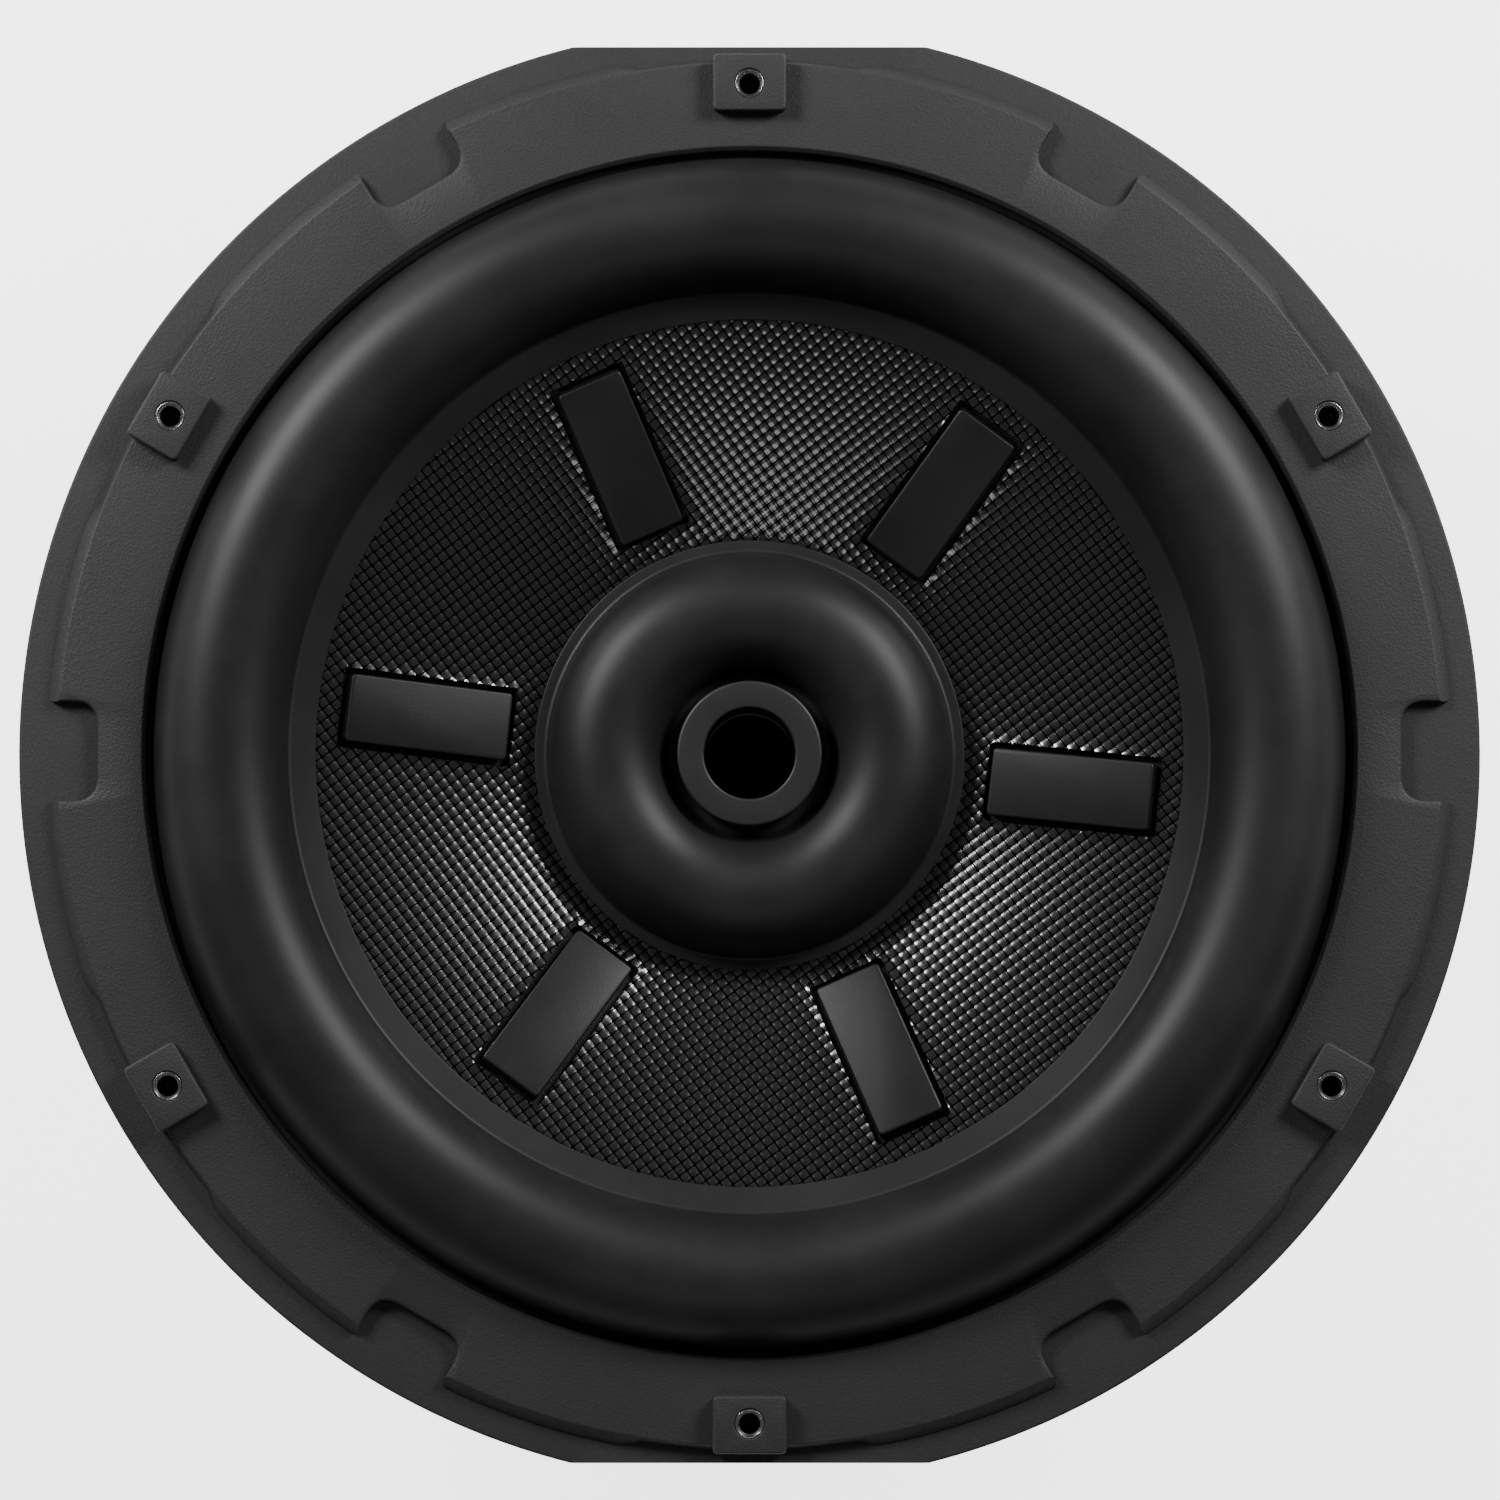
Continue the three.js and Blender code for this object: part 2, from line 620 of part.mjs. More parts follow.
// The slot that lets a contact through the block's roof and the basket's shelf.
function contactSlot(offset) {
  return block([CONTACT_RADIUS - 1.1, offset - 3.6, 59.6], [CONTACT_RADIUS + 1.1, offset + 3.6, 80]);
}

// The insulating block under the shelf: two button wells and two wire entries.
function terminalBlock(letter, side) {
  const body = solid(block([BLOCK_INNER, -BLOCK_HALF_WIDTH, BLOCK_BOTTOM], [BLOCK_OUTER, BLOCK_HALF_WIDTH, BLOCK_TOP]));
  const mouth = BUTTON_STEM / 2 + FIT_GAP;
  const well = BUTTON_FLANGE / 2 + FIT_GAP;
  const cuts = [BUTTON_OFFSET, -BUTTON_OFFSET].flatMap((offset) => {
    const half = WIRE_HOLE / 2;
    const entryLow = [CONTACT_RADIUS - 1.1, offset - half, WIRE_HOLE_HEIGHT - half];
    const entryHigh = [BLOCK_OUTER + 5, offset + half, WIRE_HOLE_HEIGHT + half];
    return [
      block([BUTTON_CENTRE - mouth, offset - mouth, 40], [BUTTON_CENTRE + mouth, offset + mouth, 50]),
      block([BUTTON_CENTRE - well, offset - well, 47.5], [BUTTON_CENTRE + well, offset + well, 58]),
      block(entryLow, entryHigh),
      contactSlot(offset),
    ];
  });
  return part(`terminal_block_${letter}`, surface(cutAll(body, cuts)).rotateZ(side), "plastic");
}

// A push button: a stem with a retaining flange at its inner end.
function pushButton({ letter, side, way, offset }) {
  const stem = BUTTON_STEM / 2;
  const flange = BUTTON_FLANGE / 2;
  const bottom = BLOCK_BOTTOM - BUTTON_PROUD;
  const body = joinAll(
    solid(block([BUTTON_CENTRE - stem, offset - stem, bottom], [BUTTON_CENTRE + stem, offset + stem, 50])),
    [block([BUTTON_CENTRE - flange, offset - flange, 48], [BUTTON_CENTRE + flange, offset + flange, 52])],
  );
  const finish = way === 1 ? "red" : "plastic";
  return part(`push_button_${letter}${way}`, surface(body).rotateZ(side), finish);
}

// A helical spring between the button and the roof of its well.
function buttonSpring({ letter, side, way, offset }) {
  const turns = 3.5;
  const radius = 3.6;
  const wire = 0.4;
  const bottom = 52 + wire + 0.1;
  const top = 58 - wire - 0.1;
  class Helix extends THREE.Curve {
    getPoint(t, target = new THREE.Vector3()) {
      const angle = t * turns * 2 * Math.PI;
      const height = THREE.MathUtils.lerp(bottom, top, t);
      return target.set(radius * Math.cos(angle), radius * Math.sin(angle), height);
    }
  }
  const section = new THREE.Shape().absarc(0, 0, wire, 0, 2 * Math.PI, false);
  const settings = { steps: 21, extrudePath: new Helix(), curveSegments: 2, bevelEnabled: false };
  const geometry = new THREE.ExtrudeGeometry(section, settings).translate(BUTTON_CENTRE, offset, 0);
  return part(`button_spring_${letter}${way}`, geometry.rotateZ(side), "steel");
}

// The brass strip from the wire entry up through the shelf to its solder lug.
function terminalContact({ letter, side, way, offset }) {
  const strip = block([CONTACT_RADIUS - 0.5, offset - 3, 60], [CONTACT_RADIUS + 0.5, offset + 3, CONTACT_TOP]);
  return part(`terminal_contact_${letter}${way}`, strip.rotateZ(side), "brass");
}

// The braided lead that crosses above the spider, slack enough for the cone's travel.
function tinselLead({ letter, side, way, offset }) {
  const lugInner = CONTACT_RADIUS - 0.5 - FIT_GAP;
  const start = new THREE.Vector3(lugInner, offset, 74.5);
  const end = new THREE.Vector3(FORMER_OUTER_RADIUS + 0.5, offset * 0.4, 73.8);
  const route = new THREE.CatmullRomCurve3([
    start,
    new THREE.Vector3(102, offset, 76.5),
    new THREE.Vector3(84, offset * 0.9, 77.5),
    new THREE.Vector3(64, offset * 0.65, 75.2),
    new THREE.Vector3(52, offset * 0.5, 74),
    end,
  ]);
  const section = new THREE.Shape().absarc(0, 0, 0.9, 0, 2 * Math.PI, false);
  const settings = { steps: 16, extrudePath: route, curveSegments: 4, bevelEnabled: false };
  const geometry = new THREE.ExtrudeGeometry(section, settings).rotateZ(side);
  return part(`tinsel_lead_${letter}${way}`, geometry, "copper");
}

// ---- Assembly ----

const chassis = new THREE.Group();
chassis.add(basket(), trimRing(), mountingGasket(), spiderRing());
atStations((_, i) => chassis.add(screwBushing(i), motorScrew(i)));

const motor = new THREE.Group();
motor.add(yoke(), magnet("magnet_rear", YOKE_TOP), magnet("magnet_front", YOKE_TOP + MAGNET_THICKNESS));
motor.add(topPlate(), shortingRing(), magnetBoot(), centrePost(), postClampRing(), ventScreen());

const movingCone = new THREE.Group();
movingCone.add(cone(), voiceCoilFormer(), voiceCoilWinding());
atStations((_, i) => movingCone.add(conePad(i)));

const suspension = new THREE.Group();
suspension.add(surround(), innerRoll(), spider());

const terminals = new THREE.Group();
terminals.add(terminalBlock("a", 0), terminalBlock("b", Math.PI));
for (const place of terminalPlaces()) {
  terminals.add(pushButton(place), buttonSpring(place), terminalContact(place), tinselLead(place));
}

const subwoofer = new THREE.Group();
subwoofer.add(chassis, motor, movingCone, suspension, terminals);

export default subwoofer;
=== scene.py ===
"""Visual model of a shallow-mount car subwoofer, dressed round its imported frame.

The speaker lies on its magnet with the cone facing +Z. Sizes in the classes are in millimetres, and every
mesh is scaled to metres when it becomes an object.
"""

import logging
import math
from dataclasses import dataclass
from enum import Enum
from typing import Any, Callable, Iterable, Sequence

import bmesh
import bpy
from mathutils import Matrix, Vector


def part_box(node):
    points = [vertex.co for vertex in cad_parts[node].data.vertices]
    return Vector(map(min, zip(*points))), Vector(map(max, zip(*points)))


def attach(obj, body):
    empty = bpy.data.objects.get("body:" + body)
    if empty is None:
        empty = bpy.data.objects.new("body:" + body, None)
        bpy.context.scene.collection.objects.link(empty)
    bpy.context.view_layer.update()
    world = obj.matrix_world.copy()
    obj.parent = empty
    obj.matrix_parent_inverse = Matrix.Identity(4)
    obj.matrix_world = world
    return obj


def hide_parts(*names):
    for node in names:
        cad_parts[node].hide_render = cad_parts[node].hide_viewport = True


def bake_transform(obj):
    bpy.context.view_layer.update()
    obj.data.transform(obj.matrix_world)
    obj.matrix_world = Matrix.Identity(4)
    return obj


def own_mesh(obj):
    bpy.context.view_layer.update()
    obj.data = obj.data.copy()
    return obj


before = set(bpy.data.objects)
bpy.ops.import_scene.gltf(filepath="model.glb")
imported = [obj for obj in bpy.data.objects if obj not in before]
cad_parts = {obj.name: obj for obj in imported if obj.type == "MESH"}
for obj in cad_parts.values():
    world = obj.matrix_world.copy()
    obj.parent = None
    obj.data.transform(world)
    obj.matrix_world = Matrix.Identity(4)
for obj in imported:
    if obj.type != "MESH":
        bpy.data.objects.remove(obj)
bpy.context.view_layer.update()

MM = 0.001
STATIONS = 6
STEP = 360 / STATIONS
LOG = logging.getLogger("subwoofer")

Point = tuple[float, float]
Outline = Sequence[tuple[float, ...]]


class Body(Enum):
    """The bodies of the frame that pieces ride on."""

    CHASSIS = "chassis"
    CONE = "cone_assembly"


class Axis(Enum):
    """The way a grain or a set of turns runs."""

    ROUND = "round"
    UPRIGHT = "upright"


class Carve(Enum):
    """What a boolean step does with its tool."""

    CUT = "DIFFERENCE"
    JOIN = "UNION"


# ---- Shader tools ----


def _math(operation: str, swapped: bool = False) -> Callable[..., "Wire"]:
    """Makes a method that combines a value with another by a Math node.

    Args:
        operation: the node's operation.
        swapped: whether the other value comes first.

    Returns:
        The method.
    """

    def combine(self: "Wire", other: Any = 0.0) -> "Wire":
        """Adds the node and gives its result."""
        first, second = (other, self) if swapped else (self, other)
        made = self.sheet.node("ShaderNodeMath", {"operation": operation}, {0: first, 1: second})
        return Wire(self.sheet, made.outputs[0])

    return combine


class Wire:
    """One value socket of a shader, so that values are combined by ordinary arithmetic."""

    def __init__(self, sheet: "Sheet", socket: bpy.types.NodeSocket) -> None:
        """Keeps the socket and the sheet that it is on."""
        self.sheet = sheet
        self.socket = socket

    __add__, __radd__ = _math("ADD"), _math("ADD", swapped=True)
    __sub__, __rsub__ = _math("SUBTRACT"), _math("SUBTRACT", swapped=True)
    __mul__, __rmul__ = _math("MULTIPLY"), _math("MULTIPLY", swapped=True)
    __truediv__, __pow__ = _math("DIVIDE"), _math("POWER")
    floor, fraction, sine = _math("FLOOR"), _math("FRACT"), _math("SINE")
    over, highest = _math("GREATER_THAN"), _math("MAXIMUM")

    def remap(self, low: float, high: float, new_low: float, new_high: float) -> "Wire":
        """Maps a range of this value to another range, and holds it there.

        Args:
            low: value that becomes new_low.
            high: value that becomes new_high.
            new_low: result at low.
            new_high: result at high.

        Returns:
            The mapped value.
        """
        settings = {"clamp": True, "interpolation_type": "SMOOTHSTEP"}
        inputs = {"Value": self, "From Min": low, "From Max": high, "To Min": new_low, "To Max": new_high}
        return Wire(self.sheet, self.sheet.node("ShaderNodeMapRange", settings, inputs).outputs[0])


Colour = tuple[float, float, float]


class Sheet:
    """The node tree of one material, with its Principled shader ready."""

    def __init__(self, name: str) -> None:
        """Starts a material.

        Args:
            name: the material's name.
        """
        self.material = bpy.data.materials.new(name)
        self.material.use_nodes = True
        self.tree = self.material.node_tree
        self.shader = next(n for n in self.tree.nodes if n.type == "BSDF_PRINCIPLED")
        self.place = self.node("ShaderNodeTexCoord", {}, {}).outputs["Object"]

    def node(self, kind: str, settings: dict[str, Any], inputs: dict[Any, Any]) -> bpy.types.Node:
        """Adds any node.

        Args:
            kind: the node's type name.
            settings: properties to set first.
            inputs: values or links by input name or number.

        Returns:
            The new node.
        """
        made = self.tree.nodes.new(kind)
        for key, value in settings.items():
            setattr(made, key, value)
        for key, value in inputs.items():
            self._feed(made.inputs[key], value)
        return made

    def _feed(self, socket: bpy.types.NodeSocket, value: Any) -> None:
        """Links or sets one input."""
        if isinstance(value, Wire):
            self.tree.links.new(value.socket, socket)
        elif isinstance(value, bpy.types.NodeSocket):
            self.tree.links.new(value, socket)
        elif isinstance(value, tuple) and len(value) == 3 and socket.type == "RGBA":
            socket.default_value = (*value, 1.0)
        else:
            socket.default_value = value

    def parts(self) -> tuple[Wire, Wire, Wire]:
        """The X, Y and Z of the object's own coordinates, in millimetres."""
        scaled = self.node("ShaderNodeVectorMath", {"operation": "SCALE"}, {0: self.place, "Scale": 1 / MM})
        split = self.node("ShaderNodeSeparateXYZ", {}, {0: scaled.outputs[0]})
        return tuple(Wire(self, socket) for socket in split.outputs)

    def vector(self, x: Any, y: Any, z: Any) -> bpy.types.NodeSocket:
        """Joins three values into a vector."""
        return self.node("ShaderNodeCombineXYZ", {}, {0: x, 1: y, 2: z}).outputs[0]

    def radius(self) -> Wire:
        """Distance from the speaker's axis, in millimetres."""
        x, y, _ = self.parts()
        return (x * x + y * y) ** 0.5

    def noise(self, size: float, detail: float = 3.0, where: Any = None, roughness: float = 0.5) -> Wire:
        """Soft noise whose lumps are about a size across.

        Args:
            size: size of the lumps, in millimetres.
            detail: how many finer layers are added.
            where: coordinates in metres, or the object's own if left out.
            roughness: weight of the finer layers.

        Returns:
            A value from 0 to 1 about 0.5.
        """
        inputs = {"Vector": where or self.place, "Scale": 1 / (size * MM)}
        inputs |= {"Detail": detail, "Roughness": roughness}
        return Wire(self, self.node("ShaderNodeTexNoise", {}, inputs).outputs["Fac"])

    def cells(self, size: float) -> Wire:
        """Distance from the nearest of scattered points that are a size apart."""
        inputs = {"Vector": self.place, "Scale": 1 / (size * MM)}
        return Wire(self, self.node("ShaderNodeTexVoronoi", {}, inputs).outputs["Distance"])

    def blend(self, factor: Any, first: Any, second: Any) -> bpy.types.NodeSocket:
        """Mixes two colours by a factor."""
        mixer = self.node("ShaderNodeMix", {"data_type": "RGBA"}, {0: factor, 6: first, 7: second})
        return mixer.outputs[2]

    def relief(self, height: Any, depth: float) -> None:
        """Feeds a height to the shader's Normal.

        Args:
            height: the height, from 0 to 1.
            depth: what 1 stands for, in millimetres.
        """
        bump = self.node("ShaderNodeBump", {}, {"Height": height, "Distance": depth * MM, "Strength": 1.0})
        self._feed(self.shader.inputs["Normal"], bump.outputs[0])

    def set(self, **inputs: Any) -> None:
        """Sets or links inputs of the Principled shader, underscores standing for spaces."""
        for key, value in inputs.items():
            self._feed(self.shader.inputs[key.replace("_", " ")], value)


# ---- Finishes ----


def tint(colour: Colour, share: float) -> Colour:
    """A colour made darker or paler by a factor."""
    return tuple(c * share for c in colour)


@dataclass(frozen=True)
class Finish:
    """A finish that can be laid on a piece, and the record's slot that it stands for."""

    slot: str

    def paint(self, sheet: Sheet) -> None:
        """Fills a material's nodes."""
        raise NotImplementedError

    def material(self, tag: str) -> bpy.types.Material:
        """The finish as a material, made once for each tag.

        Args:
            tag: a word that sets this copy of the finish apart.

        Returns:
            The material.
        """
        name = f"{self.slot}_{tag}"
        found = bpy.data.materials.get(name)
        if found:
            return found
        sheet = Sheet(name)
        self.paint(sheet)
        return sheet.material


@dataclass(frozen=True)
class TexturedCoat(Finish):
    """Stippled black coating on castings and on the trim ring."""

    colour: Colour = (0.028, 0.028, 0.029)
    grain: float = 0.55
    depth: float = 0.1
    roughness: float = 0.56

    def paint(self, sheet: Sheet) -> None:
        """Pebbled grain, slight cloudiness and a few paler scuffs."""
        pebble = sheet.cells(self.grain)
        fine = sheet.noise(self.grain * 0.4, 4.0)
        broad = sheet.noise(24.0, 4.0)
        scuff = sheet.noise(5.0, 6.0, roughness=0.7).remap(0.66, 0.76, 0.0, 1.0)
        dark = tint(self.colour, 0.8)
        pale = tint(self.colour, 1.3)
        scuffed = tint(self.colour, 1.7)
        ground = sheet.blend(broad * 0.55 + pebble * 0.5, dark, pale)
        sheet.set(Base_Color=sheet.blend(scuff * 0.35, ground, scuffed))
        sheet.set(Roughness=broad * 0.16 + fine * 0.12 + (self.roughness - 0.14))
        sheet.relief(pebble * 0.6 + fine * 0.4, self.depth)
        sheet.set(Specular_IOR_Level=0.36)


@dataclass(frozen=True)
class MouldedRubber(Finish):
    """Smooth black rubber with a satin skin and a trace of bloom."""

    colour: Colour = (0.0105, 0.0105, 0.011)
    roughness: float = 0.48
    grain: float = 0.28
    depth: float = 0.012

    def paint(self, sheet: Sheet) -> None:
        """Fine skin, cloudy bloom and scattered dust."""
        skin = sheet.noise(self.grain, 3.0)
        cloud = sheet.noise(30.0, 5.0, roughness=0.6)
        dust = sheet.noise(0.9, 2.0).remap(0.74, 0.8, 0.0, 1.0)
        bloom = tint(self.colour, 1.6)
        speck = tint(self.colour, 3.0)
        ground = sheet.blend(cloud.remap(0.35, 0.75, 0.0, 1.0), self.colour, bloom)
        sheet.set(Base_Color=sheet.blend(dust * 0.5, ground, speck))
        sheet.set(Roughness=cloud * 0.14 + skin * 0.08 + dust * 0.2 + (self.roughness - 0.11))
        sheet.relief(skin, self.depth)
        sheet.set(Specular_IOR_Level=0.33)


@dataclass(frozen=True)
class PlainWeave(Finish):
    """Glossy dark yarns, one over and one under, on a lattice turned about Z."""

    pitch: float = 2.08
    turn: float = 36.5
    # Colour of the gaps between the yarns: painted shade, darker than the crowns.
    gap_shade: Colour = (0.001, 0.001, 0.0011)
    crown: Colour = (0.003, 0.003, 0.0032)
    roughness: float = 0.22
    matt: float = 0.6
    ior: float = 2.5
    yarn: float = 0.1
    crimp: float = 0.085
    filament: float = 0.006

    def lattice(self, sheet: Sheet) -> tuple[Wire, Wire, Wire, Wire, Wire]:
        """Where a point lies on the lattice.

        Args:
            sheet: the material.

        Returns:
            Distances along and across the warp in pitches, both measured from the middle of their cell, the
            two unbroken distances, and one where the warp lies on top.
        """
        x, y, _ = sheet.parts()
        turn = math.radians(self.turn)
        along = (x * math.cos(turn) + y * math.sin(turn)) / self.pitch
        across = (y * math.cos(turn) - x * math.sin(turn)) / self.pitch
        parity = ((along.floor() + across.floor()) * 0.5).fraction().over(0.25)
        return along.fraction() - 0.5, across.fraction() - 0.5, along, across, parity

    def paint(self, sheet: Sheet) -> None:
        """Rounded yarns with painted shade in the gaps between them, and fine filaments along them."""
        near, side, along, across, warp_up = self.lattice(sheet)
        weft_up = 1.0 - warp_up
        length = near * warp_up + side * weft_up
        width = side * warp_up + near * weft_up
        crest = 1.0 - (width**2.0 * 4.0) ** 0.75
        height = crest * self.yarn + (1.0 - length**8.0 * 256.0) * self.crimp
        show = (1.0 - width**4.0 * 16.0) * (1.0 - length**4.0 * 16.0)
        # Where the yarns show clear of the gaps: sets the coat's gloss, and in the colour keeps out the
        # painted gap shade.
        gloss_and_gap_shade = show.remap(0.3, 0.62, 0.0, 1.0)
        pitch = self.pitch * MM
        warp_grain = sheet.noise(0.16, 2.0, sheet.vector(along * (0.12 * pitch), across * pitch, 0.0))
        weft_grain = sheet.noise(0.16, 2.0, sheet.vector(along * pitch, across * (0.12 * pitch), 0.01))
        grain = warp_grain * warp_up + weft_grain * weft_up
        tone = sheet.noise(7.0, 3.0)
        # Painted shade: the colour goes dark in the gaps where the yarns part.
        ground = sheet.blend(gloss_and_gap_shade, self.gap_shade, self.crown)
        # The crowns are made paler in streaks along the filaments.
        streaked_crown = tint(self.crown, 2.0)
        sheet.set(Base_Color=sheet.blend(gloss_and_gap_shade * grain * tone, ground, streaked_crown))
        sheet.set(Roughness=self.matt, Specular_IOR_Level=0.0)
        sheet.relief(height + grain * self.filament, 1.0)
        sheet.set(Coat_Weight=gloss_and_gap_shade * (grain * 0.3 + 0.85))
        sheet.set(Coat_Roughness=self.roughness, Coat_IOR=self.ior)


@dataclass(frozen=True)
class MattePad(Finish):
    """Flat dark rubber of the damping pads."""

    colour: Colour = (0.0085, 0.0085, 0.0088)
    roughness: float = 0.42

    def paint(self, sheet: Sheet) -> None:
        """Powdery skin with a fine even grain."""
        grain = sheet.noise(0.35, 4.0)
        cloud = sheet.noise(9.0, 4.0)
        pale = tint(self.colour, 1.5)
        sheet.set(Base_Color=sheet.blend(cloud * 0.6 + grain * 0.3, self.colour, pale))
        sheet.set(Roughness=grain * 0.1 + cloud * 0.1 + (self.roughness - 0.1))
        sheet.relief(grain, 0.02)
        sheet.set(Specular_IOR_Level=0.35)


@dataclass(frozen=True)
class TurnedMetal(Finish):
    """Metal with lathe marks round the axis, or with drawn marks along Z."""

    colour: Colour = (0.5, 0.5, 0.52)
    roughness: float = 0.34
    marks: float = 0.25
    depth: float = 0.008
    run: Axis = Axis.ROUND

    def paint(self, sheet: Sheet) -> None:
        """Fine tool marks, a cloudy tone and dull spots."""
        x, y, z = sheet.parts()
        radius = sheet.radius()
        if self.run is Axis.ROUND:
            where = sheet.vector(radius * MM, z * MM, 0.0)
        else:
            where = sheet.vector(x * MM, y * MM, z * (0.04 * MM))
        lines = sheet.noise(self.marks, 3.0, where)
        cloud = sheet.noise(14.0, 4.0)
        spot = sheet.noise(2.2, 5.0, roughness=0.7).remap(0.6, 0.75, 0.0, 1.0)
        dull = tint(self.colour, 0.62)
        ground = sheet.blend(cloud * 0.5 + lines * 0.3, self.colour, dull)
        sheet.set(Base_Color=sheet.blend(spot * 0.3, ground, tint(self.colour, 0.4)))
        sheet.set(Roughness=lines * 0.16 + spot * 0.2 + cloud * 0.1 + (self.roughness - 0.13))
        sheet.set(Metallic=1.0)
        sheet.relief(lines, self.depth)


@dataclass(frozen=True)
class GroundCeramic(Finish):
    """Sintered ferrite: dark, dull and pitted."""

    colour: Colour = (0.03, 0.03, 0.033)

    def paint(self, sheet: Sheet) -> None:
        """Pits and grinding haze."""
        pits = sheet.cells(1.4).remap(0.0, 0.22, 0.0, 1.0)
        haze = sheet.noise(4.0, 5.0)
        pale = tint(self.colour, 2.0)
        sheet.set(Base_Color=sheet.blend(haze * pits, tint(self.colour, 0.5), pale))
        sheet.set(Roughness=haze * 0.3 + 0.5)
        sheet.relief(pits * 0.7 + haze * 0.3, 0.06)


@dataclass(frozen=True)
class CellFoam(Finish):
    """Closed-cell foam of the gasket."""

    colour: Colour = (0.02, 0.02, 0.021)

    def paint(self, sheet: Sheet) -> None:
        """Burst cells on the cut faces."""
        cell = sheet.cells(0.7)
        drift = sheet.noise(6.0, 3.0)
        sheet.set(Base_Color=sheet.blend(cell * 0.8 + drift * 0.3, self.colour, tint(self.colour, 2.2)))
        sheet.set(Roughness=drift * 0.1 + 0.82)
        sheet.relief(cell, 0.18)


@dataclass(frozen=True)
class MouldedPlastic(Finish):
    """Satin moulded plastic with a fine spark-eroded grain."""

    colour: Colour = (0.022, 0.022, 0.024)
    roughness: float = 0.45
    grain: float = 0.3
    depth: float = 0.02

    def paint(self, sheet: Sheet) -> None:
        """Fine grain, flow clouds and faint rubbing."""
        fine = sheet.noise(self.grain, 3.0)
        flow = sheet.noise(12.0, 4.0)
        rub = sheet.noise(2.6, 5.0, roughness=0.65).remap(0.62, 0.75, 0.0, 1.0)
        pale = tint(self.colour, 1.5)
        sheet.set(Base_Color=sheet.blend(flow * 0.5 + rub * 0.4, self.colour, pale))
        sheet.set(Roughness=fine * 0.12 + flow * 0.1 - rub * 0.06 + (self.roughness - 0.1))
        sheet.relief(fine, self.depth)


@dataclass(frozen=True)
class DippedCloth(Finish):
    """Resin-dipped spider cloth, woven fine."""

    colour: Colour = (0.32, 0.2, 0.075)
    pitch: float = 0.75

    def paint(self, sheet: Sheet) -> None:
        """Fine square weave, darker between the threads."""
        x, y, _ = sheet.parts()
        step = math.tau / self.pitch
        threads = (x * step).sine() * (y * step).sine() * 0.5 + 0.5
        stain = sheet.noise(11.0, 5.0)
        dark = tint(self.colour, 0.42)
        sheet.set(Base_Color=sheet.blend(threads * 0.65 + stain * 0.4, dark, self.colour))
        sheet.set(Roughness=stain * 0.2 + 0.55)
        sheet.relief(threads, 0.14)


@dataclass(frozen=True)
class WoundWire(Finish):
    """Enamelled wire laid in turns one above the other."""

    colour: Colour = (0.5, 0.17, 0.07)
    wire: float = 0.55

    def paint(self, sheet: Sheet) -> None:
        """One rounded ridge for each turn."""
        _, _, z = sheet.parts()
        turn = (z / self.wire).fraction() - 0.5
        ridge = 1.0 - (turn * turn) * 4.0
        tone = sheet.noise(6.0, 3.0)
        dark = tint(self.colour, 0.3)
        sheet.set(Base_Color=sheet.blend(ridge * 0.7 + tone * 0.4, dark, self.colour))
        sheet.set(Roughness=tone * 0.15 + 0.24)
        sheet.set(Metallic=0.85)
        sheet.relief(ridge, 0.2)


COAT = TexturedCoat("textured_coating")
CASTING = TexturedCoat("cast_coating", colour=(0.027, 0.027, 0.028), grain=0.6, depth=0.07, roughness=0.6)
RUBBER = MouldedRubber("surround_rubber")
BOOT_RUBBER = MouldedRubber("boot_rubber", colour=(0.02, 0.02, 0.021), roughness=0.6, grain=0.6, depth=0.04)
WEAVE = PlainWeave("woven_fibre")
PAD = MattePad("pad_rubber")
RING_PLASTIC = MouldedPlastic("satin_plastic", colour=(0.014, 0.014, 0.015), roughness=0.46)
BLOCK_PLASTIC = MouldedPlastic("black_plastic")
BUTTON_BLACK = MouldedPlastic("button_black", colour=(0.018, 0.018, 0.02), roughness=0.36)
BUTTON_RED = MouldedPlastic("button_red", colour=(0.32, 0.018, 0.016), roughness=0.36)
BUSHING_METAL = TurnedMetal("bushing_metal", colour=(0.62, 0.62, 0.64), roughness=0.26, marks=0.15)
PLATED = TurnedMetal("plated_steel", colour=(0.36, 0.36, 0.37), roughness=0.36, marks=0.4, depth=0.015)
ALUMINIUM = TurnedMetal("bare_aluminium", colour=(0.72, 0.73, 0.74), roughness=0.34, marks=0.3, depth=0.012)
SCREW_STEEL = TurnedMetal("screw_steel", (0.16, 0.16, 0.17), roughness=0.34, marks=0.3, run=Axis.UPRIGHT)
SCREEN_STEEL = TurnedMetal("screen_steel", colour=(0.1, 0.1, 0.105), roughness=0.45, marks=0.3)
BRASS = TurnedMetal("contact_brass", colour=(0.62, 0.46, 0.2), roughness=0.3, marks=0.2, run=Axis.UPRIGHT)
TINSEL = TurnedMetal("tinsel_braid", colour=(0.66, 0.36, 0.22), roughness=0.36, marks=0.2, run=Axis.UPRIGHT)
FERRITE = GroundCeramic("ferrite")
FOAM = CellFoam("gasket_foam")
SPIDER_CLOTH = DippedCloth("spider_cloth")
WINDING = WoundWire("enamelled_copper")
TRAY = MouldedRubber("woven_fibre", colour=(0.008, 0.008, 0.0085), roughness=0.3, grain=0.5, depth=0.05)
GLUE = MouldedRubber("surround_rubber", colour=(0.012, 0.012, 0.013), roughness=0.22, grain=1.2, depth=0.1)


# ---- Mesh tools ----


